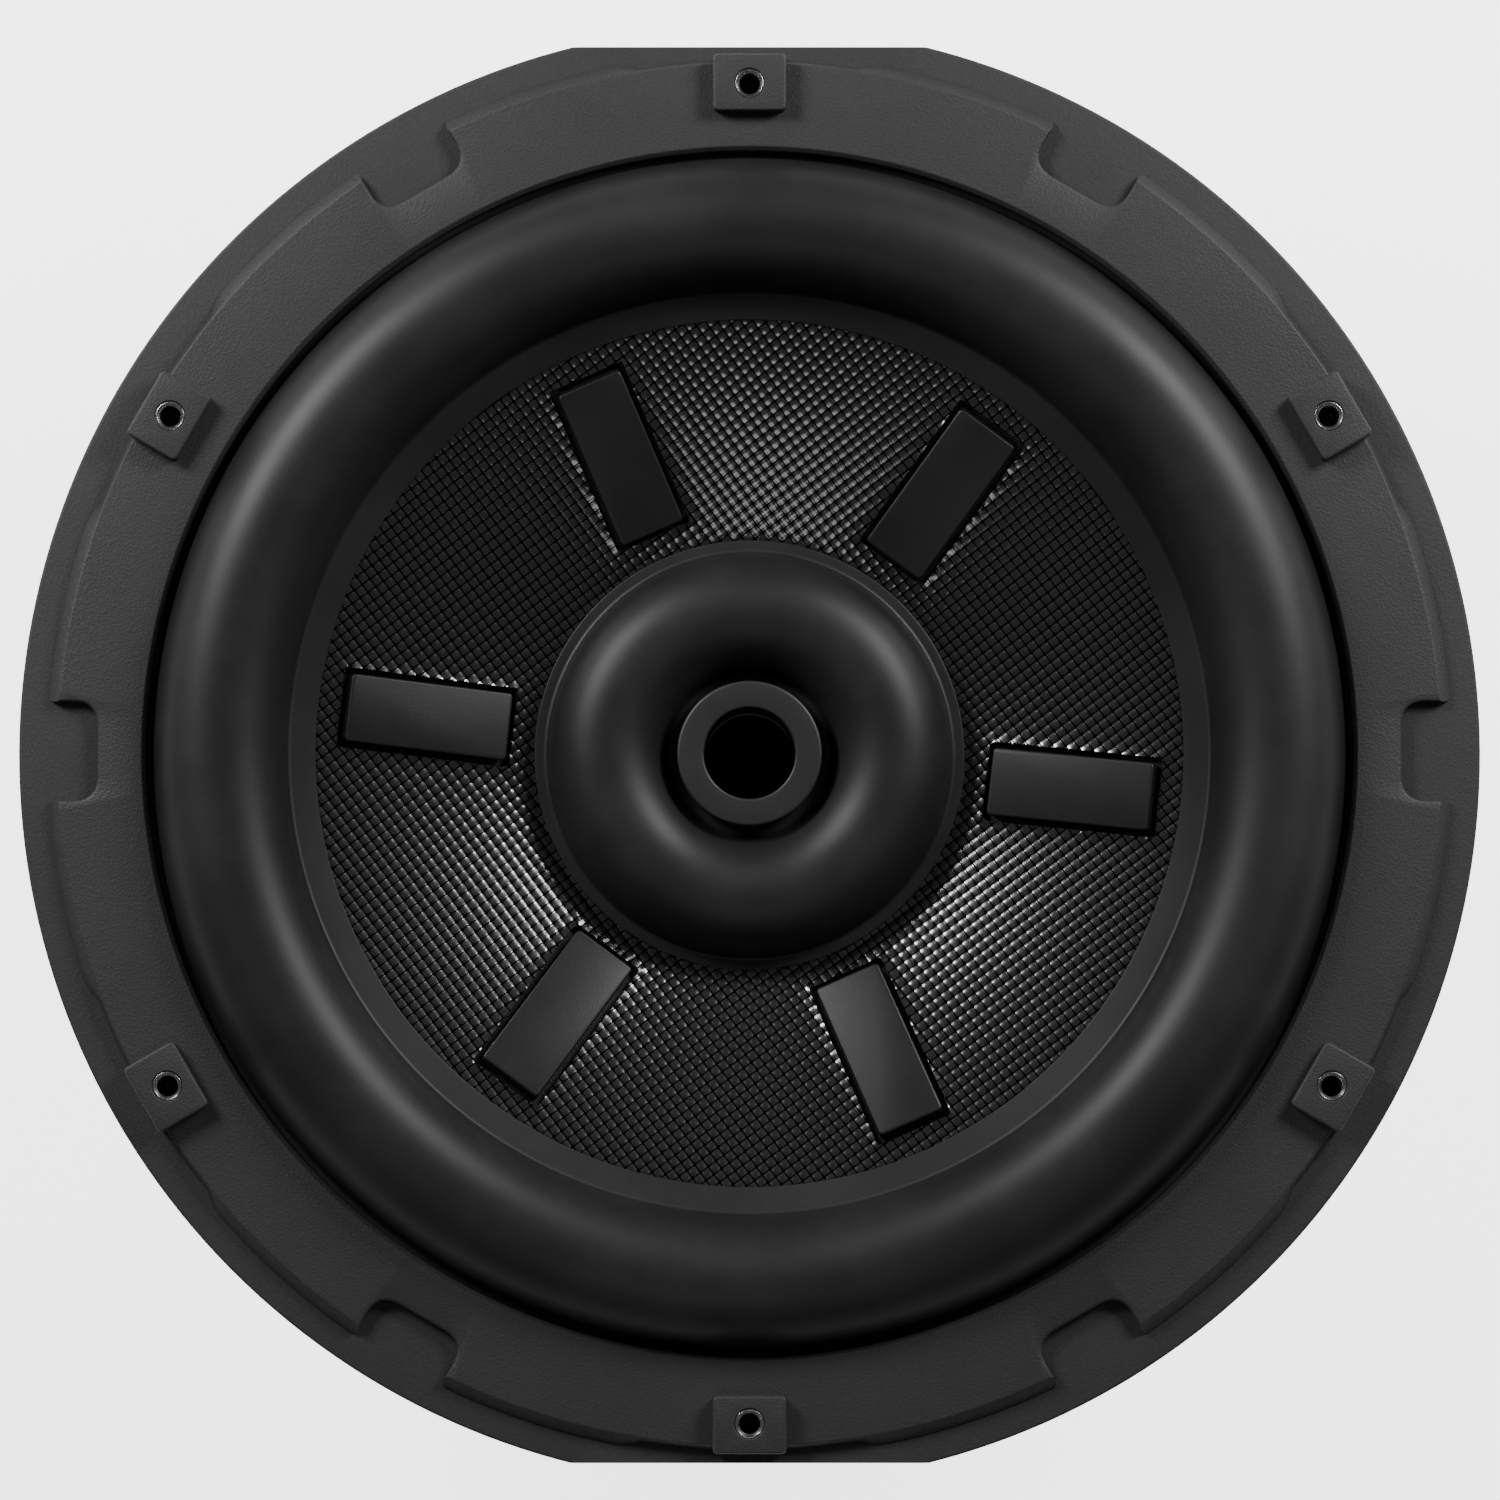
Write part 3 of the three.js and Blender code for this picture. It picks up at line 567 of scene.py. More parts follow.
def rounded(outline: Outline, steps: int = 4, closed: bool = True) -> list[Point]:
    """Rounds the corners of an outline that carry a fillet.

    Args:
        outline: points of two numbers, or of three where the third is the fillet's radius.
        steps: facets in each rounded corner.
        closed: whether the last point joins the first.

    Returns:
        The outline as plain points.
    """
    made: list[Point] = []
    last = len(outline) - 1
    for i, point in enumerate(outline):
        corner = Vector(point[:2])
        ends = not closed and i in (0, last)
        if len(point) < 3 or ends:
            made.append(tuple(corner))
            continue
        back = Vector(outline[i - 1][:2]) - corner
        ahead = Vector(outline[(i + 1) % len(outline)][:2]) - corner
        reach = point[2] / math.tan(back.angle(ahead) / 2)
        reach = min(reach, 0.48 * back.length, 0.48 * ahead.length)
        start = corner + back.normalized() * reach
        end = corner + ahead.normalized() * reach
        for k in range(steps + 1):
            t = k / steps
            made.append(tuple(start * (1 - t) ** 2 + corner * (2 * t * (1 - t)) + end * t**2))
    return made


def arc(centre: Point, radius: float, start: float, end: float, steps: int) -> list[Point]:
    """Points along a circular arc.

    Args:
        centre: the arc's centre.
        radius: its radius.
        start: first angle, in degrees.
        end: last angle, in degrees.
        steps: facets along it.

    Returns:
        The points, both ends included.
    """
    angles = [math.radians(start + (end - start) * i / steps) for i in range(steps + 1)]
    return [(centre[0] + radius * math.cos(a), centre[1] + radius * math.sin(a)) for a in angles]


def blocked(length: float, width: float, fillet: float) -> list[tuple[float, float, float]]:
    """The outline of a rectangle with rounded corners, centred on the origin."""
    x, y = length / 2, width / 2
    return [(-x, -y, fillet), (x, -y, fillet), (x, y, fillet), (-x, y, fillet)]


class Blank:
    """A mesh in the making, in millimetres, with Z along the speaker's axis."""

    def __init__(self) -> None:
        """Starts empty."""
        self.mesh = bmesh.new()

    @classmethod
    def turned(cls, outline: Outline, steps: int = 192, closed: bool = True) -> "Blank":
        """Spins an outline about Z.

        Args:
            outline: points of radius, height and an optional fillet.
            steps: facets round the circle.
            closed: False for an outline that starts and ends on the axis.

        Returns:
            The closed solid.
        """
        made = cls()
        points = rounded(outline, closed=closed)
        verts = [made.mesh.verts.new((r, 0.0, z)) for r, z in points]
        pairs = list(zip(verts, verts[1:])) + ([(verts[-1], verts[0])] if closed else [])
        edges = [made.mesh.edges.new(pair) for pair in pairs]
        spin = {"cent": (0, 0, 0), "axis": (0, 0, 1), "dvec": (0, 0, 0), "angle": math.tau, "steps": steps}
        bmesh.ops.spin(made.mesh, geom=verts + edges, use_merge=True, use_duplicate=False, **spin)
        return made.tidy()

    @classmethod
    def plate(cls, outline: Outline, bottom: float, top: float, steps: int = 4) -> "Blank":
        """Extrudes an outline in the XY plane.

        Args:
            outline: points of x, y and an optional fillet.
            bottom: lower height.
            top: upper height.
            steps: facets in each rounded corner.

        Returns:
            The closed solid.
        """
        made = cls()
        corners = [made.mesh.verts.new((x, y, bottom)) for x, y in rounded(outline, steps)]
        face = made.mesh.faces.new(corners)
        raised = bmesh.ops.extrude_face_region(made.mesh, geom=[face])["geom"]
        lifted = [v for v in raised if isinstance(v, bmesh.types.BMVert)]
        bmesh.ops.translate(made.mesh, verts=lifted, vec=(0, 0, top - bottom))
        return made.tidy()

    @classmethod
    def bar(cls, radius: float, bottom: float, top: float, steps: int = 32) -> "Blank":
        """An upright round bar.

        Args:
            radius: its radius.
            bottom: lower height.
            top: upper height.
            steps: facets round it.

        Returns:
            The closed solid.
        """
        made = cls()
        size = {"radius1": radius, "radius2": radius, "depth": top - bottom}
        bmesh.ops.create_cone(made.mesh, cap_ends=True, segments=steps, **size)
        return made.move(0, 0, (bottom + top) / 2)

    @classmethod
    def wrapped(cls, outline: Outline, inner: float, outer: float, middle: float) -> "Blank":
        """A radial prism: an outline of arc length and height, pushed out from the axis.

        Args:
            outline: points of arc length at the middle radius, height and an optional fillet.
            inner: radius where it starts.
            outer: radius where it ends.
            middle: radius at which arc lengths are true.

        Returns:
            The closed solid, centred on +X.
        """
        made = cls()
        corners = rounded(outline, 6)
        points: list[Point] = []
        for (s0, z0), (s1, z1) in zip(corners, corners[1:] + corners[:1]):
            parts = max(1, int(abs(s1 - s0) / 4))
            points += [(s0 + (s1 - s0) * k / parts, z0 + (z1 - z0) * k / parts) for k in range(parts)]
        rings = []
        for radius in (inner, outer):
            ring = [(radius * math.cos(s / middle), radius * math.sin(s / middle), z) for s, z in points]
            rings.append([made.mesh.verts.new(place) for place in ring])
        made.mesh.faces.new(rings[0])
        made.mesh.faces.new(rings[1])
        edges = [made.mesh.edges.get((r[i - 1], r[i])) for r in rings for i in range(len(r))]
        bmesh.ops.bridge_loops(made.mesh, edges=edges)
        return made.tidy()

    @classmethod
    def tower(cls, outline: Outline, levels: Sequence[Point]) -> "Blank":
        """Stacks an outline at several heights, grown outwards at each.

        Args:
            outline: points of x, y and an optional fillet, anticlockwise.
            levels: pairs of how far the outline is grown, and its height.

        Returns:
            The closed solid.
        """
        made = cls()
        points = [Vector(point) for point in rounded(outline, 8)]
        count = len(points)
        normals = []
        for i, point in enumerate(points):
            run = (points[(i + 1) % count] - point).normalized() + (point - points[i - 1]).normalized()
            normals.append(Vector((run.y, -run.x)).normalized())
        rings = []
        for grow, height in levels:
            places = [point + normal * grow for point, normal in zip(points, normals)]
            rings.append([made.mesh.verts.new((*place, height)) for place in places])
        for lower, upper in zip(rings, rings[1:]):
            for i in range(count):
                made.mesh.faces.new((lower[i - 1], lower[i], upper[i], upper[i - 1]))
        made.mesh.faces.new(rings[0])
        made.mesh.faces.new(rings[-1])
        return made.tidy()

    @classmethod
    def joined(cls, blanks: Iterable["Blank"]) -> "Blank":
        """Puts several blanks in one, without joining their surfaces."""
        made = cls()
        for blank in blanks:
            made.add(blank)
        return made

    def add(self, other: "Blank") -> "Blank":
        """Takes in another blank's faces."""
        passing = bpy.data.meshes.new("passing")
        other.mesh.to_mesh(passing)
        self.mesh.from_mesh(passing)
        bpy.data.meshes.remove(passing)
        return self

    def tidy(self) -> "Blank":
        """Merges doubled points and points the faces outwards."""
        bmesh.ops.remove_doubles(self.mesh, verts=self.mesh.verts, dist=1e-4)
        bmesh.ops.recalc_face_normals(self.mesh, faces=self.mesh.faces)
        return self

    def move(self, x: float, y: float, z: float) -> "Blank":
        """Shifts it."""
        bmesh.ops.translate(self.mesh, verts=self.mesh.verts, vec=(x, y, z))
        return self

    def turn(self, degrees: float, axis: str = "Z") -> "Blank":
        """Turns it about an axis through the origin."""
        matrix = Matrix.Rotation(math.radians(degrees), 3, axis)
        bmesh.ops.rotate(self.mesh, verts=self.mesh.verts, cent=(0, 0, 0), matrix=matrix)
        return self

    def bevel(self, width: float, segments: int = 2, over: float = 35.0) -> "Blank":
        """Rounds every edge that is sharper than an angle.

        Args:
            width: width of the bevel.
            segments: facets across it.
            over: angle in degrees past which an edge counts.

        Returns:
            The blank.
        """
        limit = math.radians(over)
        sharp = [e for e in self.mesh.edges if len(e.link_faces) == 2 and e.calc_face_angle(0.0) > limit]
        shape = {"offset_type": "OFFSET", "profile": 0.5, "affect": "EDGES", "clamp_overlap": True}
        bmesh.ops.bevel(self.mesh, geom=sharp, offset=width, segments=segments, material=-1, **shape)
        return self

    def loose(self, name: str) -> bpy.types.Object:
        """An object that holds this mesh, for a modifier to work on."""
        mesh = bpy.data.meshes.new(name)
        self.mesh.to_mesh(mesh)
        thing = bpy.data.objects.new(name, mesh)
        bpy.context.scene.collection.objects.link(thing)
        return thing

    def carve(self, tools: Iterable["Blank"], way: Carve = Carve.CUT) -> "Blank":
        """Cuts tools out of it, or joins them to it.

        Args:
            tools: closed blanks that don't meet each other.
            way: whether they are cut or joined.

        Returns:
            The blank.
        """
        target = self.loose("carve_target")
        tool = Blank.joined(tools).loose("carve_tool")
        step = target.modifiers.new("carve", "BOOLEAN")
        step.solver = "EXACT"
        step.operation = way.value
        step.object = tool
        done = bpy.data.meshes.new_from_object(target.evaluated_get(bpy.context.evaluated_depsgraph_get()))
        self.mesh.clear()
        self.mesh.from_mesh(done)
        for thing in (target, tool):
            bpy.data.meshes.remove(thing.data)
        bpy.data.meshes.remove(done)
        bmesh.ops.dissolve_degenerate(self.mesh, dist=1e-3, edges=self.mesh.edges)
        return self


def around(
    make: Callable[[], Blank], first: float = 0.0, places: Iterable[int] = range(STATIONS)
) -> list[Blank]:
    """One blank at each station round the axis.

    Args:
        make: makes the blank on +X.
        first: angle of the first station, in degrees.
        places: which stations to fill.

    Returns:
        The turned blanks.
    """
    return [make().turn(first + i * STEP) for i in places]


@dataclass
class Assembly:
    """A sub-assembly: makes its pieces, dresses them and hangs them on their bodies."""

    def piece(
        self,
        name: str,
        blank: Blank,
        finish: Finish,
        body: Body | str = Body.CHASSIS,
        nodes: Sequence[str] = (),
        smooth: float = 32.0,
        tag: str = "main",
    ) -> bpy.types.Object:
        """Turns a blank into a finished piece of the speaker.

        Args:
            name: the piece's name.
            blank: its shape, in millimetres.
            finish: its finish.
            body: the body that it rides on, or an empty name to hang it on no body.
            nodes: the frame's nodes that it stands for.
            smooth: angle in degrees under which its shading is smooth.
            tag: sets apart copies of one finish.

        Returns:
            The new object.
        """
        bmesh.ops.scale(blank.mesh, vec=(MM, MM, MM), verts=blank.mesh.verts)
        limit = math.radians(smooth)
        for edge in blank.mesh.edges:
            edge.smooth = len(edge.link_faces) != 2 or edge.calc_face_angle(0.0) < limit
        for face in blank.mesh.faces:
            face.smooth = True
        thing = blank.loose(name)
        thing.data.materials.append(finish.material(tag))
        if body:
            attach(thing, body.value if isinstance(body, Body) else body)
        if nodes:
            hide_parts(*nodes)
        LOG.info("%s: %d faces", name, len(thing.data.polygons))
        return thing

    @staticmethod
    def stretch(thing: bpy.types.Object, fixed: float, moving: float) -> None:
        """Lays a round piece's points out along the radius for a moment, bakes the object's transform and
        puts the points back where they were.

        Args:
            thing: the piece.
            fixed: not used.
            moving: not used.
        """
        places = [v.co.copy() for v in thing.data.vertices]
        for vertex, place in zip(thing.data.vertices, places):
            vertex.co = (math.hypot(place.x, place.y), 0.0, place.z)
        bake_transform(thing)
        for vertex, place in zip(thing.data.vertices, places):
            vertex.co = place


def height_of(node: str, top: bool = True) -> float:
    """A frame node's highest or lowest point, in millimetres."""
    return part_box(node)[1 if top else 0].z / MM


def span_of(node: str) -> tuple[float, float]:
    """A frame node's lowest and highest points, in millimetres."""
    return height_of(node, top=False), height_of(node)


def reach_of(node: str) -> float:
    """How far a frame node reaches along X, in millimetres."""
    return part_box(node)[1].x / MM


# ---- Sub-assemblies ----


@dataclass
class Flange(Assembly):
    """The cast basket with its trim ring, screw bushings and gasket."""

    radius: float = reach_of("basket")
    flat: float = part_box("basket")[1].y / MM
    bottom: float = height_of("mounting_gasket")
    top: float = 96.0
    seat: float = 94.0
    seat_radius: float = 134.6
    rim_inner: float = 129.9
    rim_top: float = 98.5
    plateau: float = 148.9
    base: float = reach_of("trim_ring")
    relief: float = 1.7
    notch: float = 10.7
    notch_centre: float = 151.0
    boss_centre: float = 144.2
    boss_size: tuple[float, float] = (12.3, 15.8)
    boss_top: float = height_of("trim_ring")
    screw_circle: float = 143.9
    screw_hole: float = 2.25
    bushing: float = 3.1
    boss_first: float = 30.0
    window: float = 22.0
    window_middle: float = 125.0
    window_height: float = 78.0
    rib_width: float = 4.8
    open_sides: tuple[int, ...] = (1, 2, 4, 5)
    motor_screw_circle: float = 66.0
    gasket_inner: float = 137.0
    gasket_outer: float = 150.0

    def sector(self, inner: float, outer: float, half: float, fillet: float) -> list[tuple[float, ...]]:
        """The outline of an annular sector with rounded corners, centred on +X."""
        far = arc((0, 0), outer, -half, half, 8)
        near = arc((0, 0), inner, half, -half, 8)
        ends = {far[0], far[-1], near[0], near[-1]}
        return [(*point, fillet) if point in ends else point for point in far + near]

    def build(self) -> None:
        """Makes the four kinds of piece."""
        self.basket()
        self.trim()
        self.bushings()
        self.gasket()

    def basket(self) -> None:
        """The casting: flange with two flats, tapered wall, shelf, six ribbed spokes and the motor seat."""
        section = [
            (self.radius, self.bottom, 0.6),
            (self.radius, self.top, 0.7),
            (self.seat_radius + 0.3, self.top, 0.2),
            (self.seat_radius + 0.3, self.seat),
            (126, self.seat, 0.4),
            (126, 91, 1.0),
            (130, 87, 1.0),
            (130, 84, 3.0),
            (111, 69, 2.0),
            (96, 69, 2.0),
            (76, 58, 3.0),
            (56, 58, 0.8),
            (56, 54, 0.4),
            (77, 54, 3.0),
            (98, 66, 3.0),
            (113.5, 66, 3.0),
            (133, 82, 3.0),
            (134, self.bottom, 1.5),
        ]
        blank = Blank.turned(section, 240)
        half = self.rib_width / 2
        ribs = around(lambda: Blank.plate(self.rib(), -half, half).turn(90, "X"), self.boss_first)
        blank.carve(ribs, Carve.JOIN)
        waste = 60
        flats = [
            Blank.plate(blocked(400, waste, 0), 60, 110).move(0, side * (self.flat + waste / 2), 0)
            for side in (1, -1)
        ]
        lower = around(lambda: Blank.plate(self.sector(80, 95, self.window, 3.4), 48, 74))
        opening = blocked(math.radians(self.window) * self.window_middle * 2, 16, 4.5)
        upper = around(
            lambda: Blank.wrapped(opening, 100, 165, self.window_middle).move(0, 0, self.window_height),
            places=self.open_sides,
        )
        screws = self.holes(self.bushing + 0.1, 80, 100, self.screw_circle)
        motor = self.holes(2.7, 50, 61, self.motor_screw_circle)
        offsets = (-Terminals.offset, Terminals.offset)
        slots = [Terminals().slot(offset).turn(side) for side in (0, 180) for offset in offsets]
        blank.carve(flats + lower + upper + screws + motor + slots)
        self.piece("basket_casting", blank, CASTING, nodes=["basket"])

    def holes(self, radius: float, bottom: float, top: float, circle: float) -> list[Blank]:
        """Cutters of six round holes on a circle."""
        return around(lambda: Blank.bar(radius, bottom, top).move(circle, 0, 0), self.boss_first)

    def rib(self) -> list[tuple[float, ...]]:
        """The outline of a spoke's stiffening web, as radius and height."""
        return [(86, 60.5), (98, 67), (111, 67), (111, 62.5, 2.0), (104, 58.5, 6.0), (90, 57, 3.0)]

    def trim(self) -> None:
        """The raised ring: bevelled outside, six notches with rolled edges and six square bosses."""
        section = [
            (self.rim_inner, self.seat + 1.5, 0.2),
            (self.seat_radius, self.seat + 1.5),
            (self.seat_radius, self.top),
            (self.base, self.top, 0.2),
            (self.plateau, self.rim_top, 1.1),
            (self.rim_inner + 0.9, self.rim_top + 0.3, 0.5),
            (self.rim_inner, self.rim_top - 0.6, 0.4),
        ]
        blank = Blank.turned(section, 360)
        self.relieve(blank)
        bosses = around(self.boss, self.boss_first)
        blank.carve(bosses, Carve.JOIN)
        holes = around(self.screw_mouth, self.boss_first)
        blank.carve(around(self.notch_tool) + holes)
        self.piece("trim_ring_moulding", blank, COAT, nodes=["trim_ring"], smooth=40)

    def relieve(self, blank: Blank) -> None:
        """Draws the foot of the bevel in beside each boss, so that the screw pads stand clear."""
        for vertex in blank.mesh.verts:
            reach = math.hypot(vertex.co.x, vertex.co.y)
            share = (reach - self.plateau) / (self.base - self.plateau)
            if share <= 0:
                continue
            angle = math.degrees(math.atan2(vertex.co.y, vertex.co.x)) - self.boss_first
            apart = abs((angle + STEP / 2) % STEP - STEP / 2)
            ramp = max(0.0, min(1.0, (10.6 - apart) / 1.6))
            shift = 1 - self.relief * share * ramp * ramp * (3 - 2 * ramp) / reach
            vertex.co.x *= shift
            vertex.co.y *= shift

    def boss(self) -> Blank:
        """One square screw pad with a softened top, on +X."""
        plate = Blank.plate(blocked(*self.boss_size, 1.2), self.top + 0.5, self.boss_top, 5)
        return plate.bevel(0.5, 3, 60).move(self.boss_centre, 0, 0)

    def notch_tool(self) -> Blank:
        """The cutter of one notch, with rounded mouth corners, flared so that it leaves a rolled edge."""
        back, mouth = self.notch_centre - self.notch, self.notch_centre + 0.4
        half, wide, far = self.notch, 18.0, 170.0
        outline = [(back, -half, 12.0), (mouth, -half, 2.2), (mouth, -wide), (far, -wide), (far, wide)]
        outline += [(mouth, wide), (mouth, half, 2.2), (back, half, 12.0)]
        roll = arc((0.6, self.rim_top - 0.6), 0.6, 180, 112, 4)
        flare = [(2.2, self.rim_top + 0.7), (2.2, 104)]
        return Blank.tower(outline, [(0.0, self.top), *roll, *flare])

    def screw_mouth(self) -> Blank:
        """The cutter of one screw hole, flared at the top."""
        hole = self.bushing + 0.1
        outline = [(0, 90), (hole, 90), (hole, self.boss_top - 0.25), (hole + 0.5, self.boss_top + 0.25)]
        outline += [(hole + 0.5, 104), (0, 104)]
        return Blank.turned(outline, 40, closed=False).move(self.screw_circle, 0, 0)

    def bushings(self) -> None:
        """A turned sleeve in each boss."""
        top = height_of("screw_bushing_1")
        section = [
            (self.screw_hole, self.bottom, 0.1),
            (self.bushing, self.bottom, 0.2),
            (self.bushing, top, 0.15),
            (self.screw_hole + 0.55, top, 0.1),
            (self.screw_hole, top - 0.6, 0.1),
        ]
        for i in range(STATIONS):
            blank = Blank.turned(section, 40).move(self.screw_circle, 0, 0)
            blank.turn(self.boss_first + i * STEP)
            self.piece(f"bushing_{i + 1}", blank, BUSHING_METAL, nodes=[f"screw_bushing_{i + 1}"])

    def gasket(self) -> None:
        """The foam ring under the flange, with softened edges."""
        low = height_of("mounting_gasket", top=False)
        inner, outer, high = self.gasket_inner, self.gasket_outer, self.bottom
        section = [(inner, low, 0.4), (outer, low, 0.4), (outer, high, 0.1), (inner, high, 0.1)]
        self.piece("gasket_ring", Blank.turned(section, 180), FOAM, nodes=["mounting_gasket"])


@dataclass
class Cone(Assembly):
    """The woven dish with its glue lands, pads, former and winding."""

    edge_top: float = 93.0
    neck_top: float = 78.0
    lip: float = 93.7
    neck: float = 47.5
    curve: float = 3.0
    shell: float = 1.4
    bore: float = 45.1
    pad: tuple[float, float] = (36.3, 14.7)
    pad_centre: float = 70.4
    pad_first: float = -6.4
    proud: float = 2.0
    depth: float = 2.5
    clearance: float = 1.3
    wall: float = 1.2
    skin_inner: float = 46.6
    skin_outer: float = 94.1
    cells_in_pitch: int = 4
    yarn: float = 0.28
    crimp: float = 0.06
    swell: float = 0.3
    swell_reach: float = 0.9
    hem: float = 0.7
    former: tuple[float, float] = (44.5, 45.0)
    winding_outer: float = 46.4
    winding_turns: int = 26

    def top(self, radius: float) -> float:
        """Height of the dish at a radius."""
        t = max(0.0, min(1.0, (self.lip - radius) / (self.lip - self.neck)))
        return self.edge_top - (self.edge_top - self.neck_top - self.curve) * t - self.curve * t * t

    def tilt(self) -> float:
        """Slope of the dish under a pad, in degrees."""
        half = self.pad[0] / 2
        rise = self.top(self.pad_centre + half) - self.top(self.pad_centre - half)
        return math.degrees(math.atan2(rise, self.pad[0]))

    def lay(self, blank: Blank) -> Blank:
        """Lays a blank on the dish where a pad goes, on +X."""
        return blank.turn(-self.tilt(), "Y").move(self.pad_centre, 0, self.top(self.pad_centre))

    def pocket(self, extra: float) -> list[tuple[float, float, float]]:
        """The outline of a pad's pocket, grown on each side."""
        grow = 2 * (self.clearance + extra)
        return blocked(self.pad[0] + grow, self.pad[1] + grow, 1.6 + extra)

    def build(self) -> None:
        """Makes the dish, the pads and the coil."""
        self.dish()
        self.skin()
        self.pads()
        self.coil()

    def dish(self) -> None:
        """The stiff backing: a thin dish with a tray under each pad."""
        lands = [(self.bore, self.neck_top), (self.skin_inner, self.neck_top)]
        steps = 12
        rise = [self.neck + (self.lip - self.neck) * i / steps for i in range(steps + 1)]
        upper = lands + [(r, self.top(r) - 0.3) for r in rise] + [(self.lip + 0.6, self.edge_top)]
        edge = reach_of("cone")
        under = [(r, self.top(r) - self.shell) for r in reversed(rise)]
        section = upper + [(edge, self.edge_top, 0.3), (edge, self.edge_top - self.shell, 0.3)] + under
        section += [(self.bore, self.neck_top - self.shell)]
        blank = Blank.turned(section, 240)
        low = -self.depth - self.wall
        trays = around(lambda: self.lay(Blank.plate(self.pocket(self.wall), low, -0.6)), self.pad_first)
        blank.carve(trays, Carve.JOIN)
        blank.carve(around(lambda: self.lay(Blank.plate(self.pocket(0.0), -self.depth, 6)), self.pad_first))
        self.piece("cone_dish", blank, TRAY, Body.CONE, ["cone"], tag="backing")

    def skin(self) -> None:
        """The woven cloth: a fine grid on the yarns' lattice, raised where each yarn crosses over."""
        pitch = WEAVE.pitch
        step = pitch / self.cells_in_pitch
        cells = math.ceil((self.skin_outer + pitch) / step)
        blank = Blank()
        bmesh.ops.create_grid(blank.mesh, x_segments=2 * cells, y_segments=2 * cells, size=cells * step)
        blank.turn(WEAVE.turn)
        self.trim_cloth(blank)
        for vertex in blank.mesh.verts:
            vertex.co.z = self.cloth_height(vertex.co.x, vertex.co.y)
        edge = [e for e in blank.mesh.edges if e.is_boundary]
        hem = bmesh.ops.extrude_edge_only(blank.mesh, edges=edge)["geom"]
        turned_in = [v for v in hem if isinstance(v, bmesh.types.BMVert)]
        bmesh.ops.translate(blank.mesh, verts=turned_in, vec=(0, 0, -self.hem))
        self.piece("cone_cloth", blank, WEAVE, Body.CONE, smooth=75)

    def in_pocket(self, x: float, y: float) -> tuple[float, float, float]:
        """Where a point lies beside the nearest pocket.

        Args:
            x: place across.
            y: place up.

        Returns:
            Its distance outside the pocket's edge, less than nought inside, and the point pushed out to it.
        """
        angle = math.degrees(math.atan2(y, x)) - self.pad_first
        station = round(angle / STEP) * STEP + self.pad_first
        turn = math.radians(station)
        along = x * math.cos(turn) + y * math.sin(turn) - self.pad_centre
        across = y * math.cos(turn) - x * math.sin(turn)
        slope = math.cos(math.radians(self.tilt()))
        half_length = (self.pad[0] / 2 + self.clearance) * slope
        half_width = self.pad[1] / 2 + self.clearance
        past_end = abs(along) - half_length
        past_side = abs(across) - half_width
        if past_end > past_side:
            along = math.copysign(half_length, along)
        else:
            across = math.copysign(half_width, across)
        along += self.pad_centre
        pushed_x = along * math.cos(turn) - across * math.sin(turn)
        pushed_y = along * math.sin(turn) + across * math.cos(turn)
        return max(past_end, past_side), pushed_x, pushed_y

    def trim_cloth(self, blank: Blank) -> None:
        """Cuts the cloth to the dish and round the pockets, with its edge points drawn onto the cut."""
        inside: dict[bmesh.types.BMVert, bool] = {}
        for vertex in blank.mesh.verts:
            reach = math.hypot(vertex.co.x, vertex.co.y)
            in_ring = self.skin_inner < reach < self.skin_outer
            inside[vertex] = in_ring and self.in_pocket(vertex.co.x, vertex.co.y)[0] > 0
        spare = [f for f in blank.mesh.faces if sum(inside[v] for v in f.verts) < 2]
        bmesh.ops.delete(blank.mesh, geom=spare, context="FACES")
        for vertex in blank.mesh.verts:
            reach = math.hypot(vertex.co.x, vertex.co.y)
            fitted = max(self.skin_inner, min(self.skin_outer, reach)) / reach
            vertex.co.x *= fitted
            vertex.co.y *= fitted
            past, x, y = self.in_pocket(vertex.co.x, vertex.co.y)
            if past < 0:
                vertex.co.x, vertex.co.y = x, y

    def cloth_height(self, x: float, y: float) -> float:
        """Height of the cloth's face: the dish, the yarns' waves and the rise round each pocket."""
        turn = math.radians(WEAVE.turn)
        along = (x * math.cos(turn) + y * math.sin(turn)) / WEAVE.pitch
        across = (y * math.cos(turn) - x * math.sin(turn)) / WEAVE.pitch
        near = along - math.floor(along) - 0.5
        side = across - math.floor(across) - 0.5
        lift = self.crimp if (math.floor(along) + math.floor(across)) % 2 else -self.crimp
        warp = self.yarn * (1 - 4 * side**2) + lift * (1 - 256 * near**8)
        weft = self.yarn * (1 - 4 * near**2) - lift * (1 - 256 * side**8)
        past = self.in_pocket(x, y)[0]
        swell = self.swell * math.exp(-max(past, 0.0) / self.swell_reach)
        return self.top(math.hypot(x, y)) + max(warp, weft) - self.yarn + swell

    def pads(self) -> None:
        """Six flat-topped pads, each standing in its pocket."""
        for i in range(STATIONS):
            plate = Blank.plate(blocked(*self.pad, 1.1), -self.depth + 0.3, self.proud, 5)
            plate.bevel(0.45, 3, 60)
            blank = self.lay(plate).turn(self.pad_first + i * STEP)
            self.piece(f"damping_pad_{i + 1}", blank, PAD, Body.CONE, [f"cone_pad_{i + 1}"])

